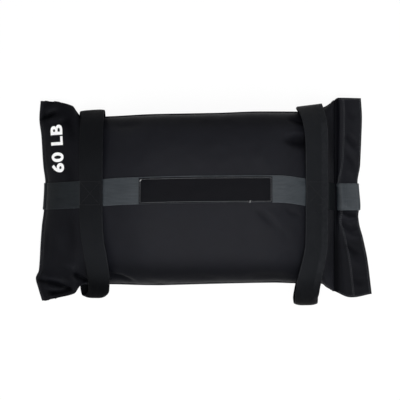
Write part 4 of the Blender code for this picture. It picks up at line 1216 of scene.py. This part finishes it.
def insidePiece(node, name, material):
    mesh = frame["nodes"][node].data.copy()
    mesh.name = name
    made = linked(name, mesh)
    spots = np.zeros(len(mesh.vertices) * 3, np.float32)
    mesh.vertices.foreach_get("co", spots)
    setUv(mesh, spots.reshape(-1, 3)[:, :2])
    made.modifiers.new("joined", "WELD").merge_threshold = 0.00005
    if "filler" in node:
        soft = made.modifiers.new("soft", "SUBSURF")
        soft.levels = soft.render_levels = 1
    mesh.materials.clear()
    mesh.materials.append(material)
    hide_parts(node)
    applyAll(made)
    made.data.shade_smooth()
    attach(made, bodyOf[node])


for node, (name, material, slot) in insidePieces.items():
    insidePiece(node, name, material)
for number in fillers:
    sand = frame["nodes"][f"filler_{number}_sand"].data
    sand.materials.clear()
    sand.materials.append(drySand)
print("inside pieces ready")


# floor, light and camera
stageSet = {"floor": 6.0, "floorTone": 0.95, "cameraHeight": 6.0, "frameWidth": 0.74,
            "lookAt": (-0.0065, 0.0026), "frameZ": 0.05, "sensor": 36.0, "worldPower": 0.14,
            "paperGlow": 0.95}
lamps = (("keyLight", (0.15, -0.85, 2.3), 1.7, 76.0), ("sideLight", (1.9, 1.1, 2.2), 1.2, 10.0),
         ("rimLight", (-2.1, -0.3, 0.75), 0.7, 4.0))  # name, place, size and power
white = (1, 1, 1)


def makeFloor():
    mesh = bpy.data.meshes.new("studioFloor")
    build = bmesh.new()
    bmesh.ops.create_grid(build, x_segments=8, y_segments=8, size=stageSet["floor"] / 2)
    build.to_mesh(mesh)
    build.free()
    floor = linked("studioFloor", mesh)
    paper, shader = newMaterial("studioPaper")
    tone = scaled(white, stageSet["floorTone"])
    feed(shader, {"Roughness": 0.9, "Specular IOR Level": 0.1,
                  "Base Color": tint(cloud(3.0), tone, scaled(tone, 1.02))})
    glow = addNode("Emission", {"Color": white, "Strength": 1.0}).outputs[0]
    feed(paper.node_tree.nodes["Material Output"],
         {"Surface": seenMix(stageSet["paperGlow"], shader.outputs[0], glow)})
    mesh.materials.append(paper)


def makeLight():
    for name, spot, size, power in lamps:
        data = bpy.data.lights.new(name, "AREA")
        data.shape, data.size, data.energy = "DISK", size, power
        lamp = linked(name, data)
        lamp.location = spot
        lamp.rotation_euler = (Vector((0, 0, 0.05)) - Vector(spot)).to_track_quat("-Z", "Y").to_euler()
    world = bpy.data.worlds.new("studioAir")
    bpy.context.scene.world = world
    world.use_nodes = True
    wiring["tree"] = world.node_tree
    world.node_tree.nodes.clear()
    air, seenAir = (addNode("Background", {"Color": white, "Strength": power}).outputs[0]
                    for power in (stageSet["worldPower"], 1.0))
    addNode("OutputWorld", {"Surface": seenMix(1.0, air, seenAir)})


def makeCamera():
    data = bpy.data.cameras.new("photoCamera")
    data.sensor_width, data.clip_end = stageSet["sensor"], 50.0
    away = stageSet["cameraHeight"] - stageSet["frameZ"]
    data.lens = stageSet["sensor"] * away / stageSet["frameWidth"]
    camera = linked("photoCamera", data)
    camera.location = (*stageSet["lookAt"], stageSet["cameraHeight"])
    bpy.context.scene.camera = camera


makeFloor()
makeLight()
makeCamera()
bpy.context.scene.view_settings.view_transform = "Standard"
print("stage ready")
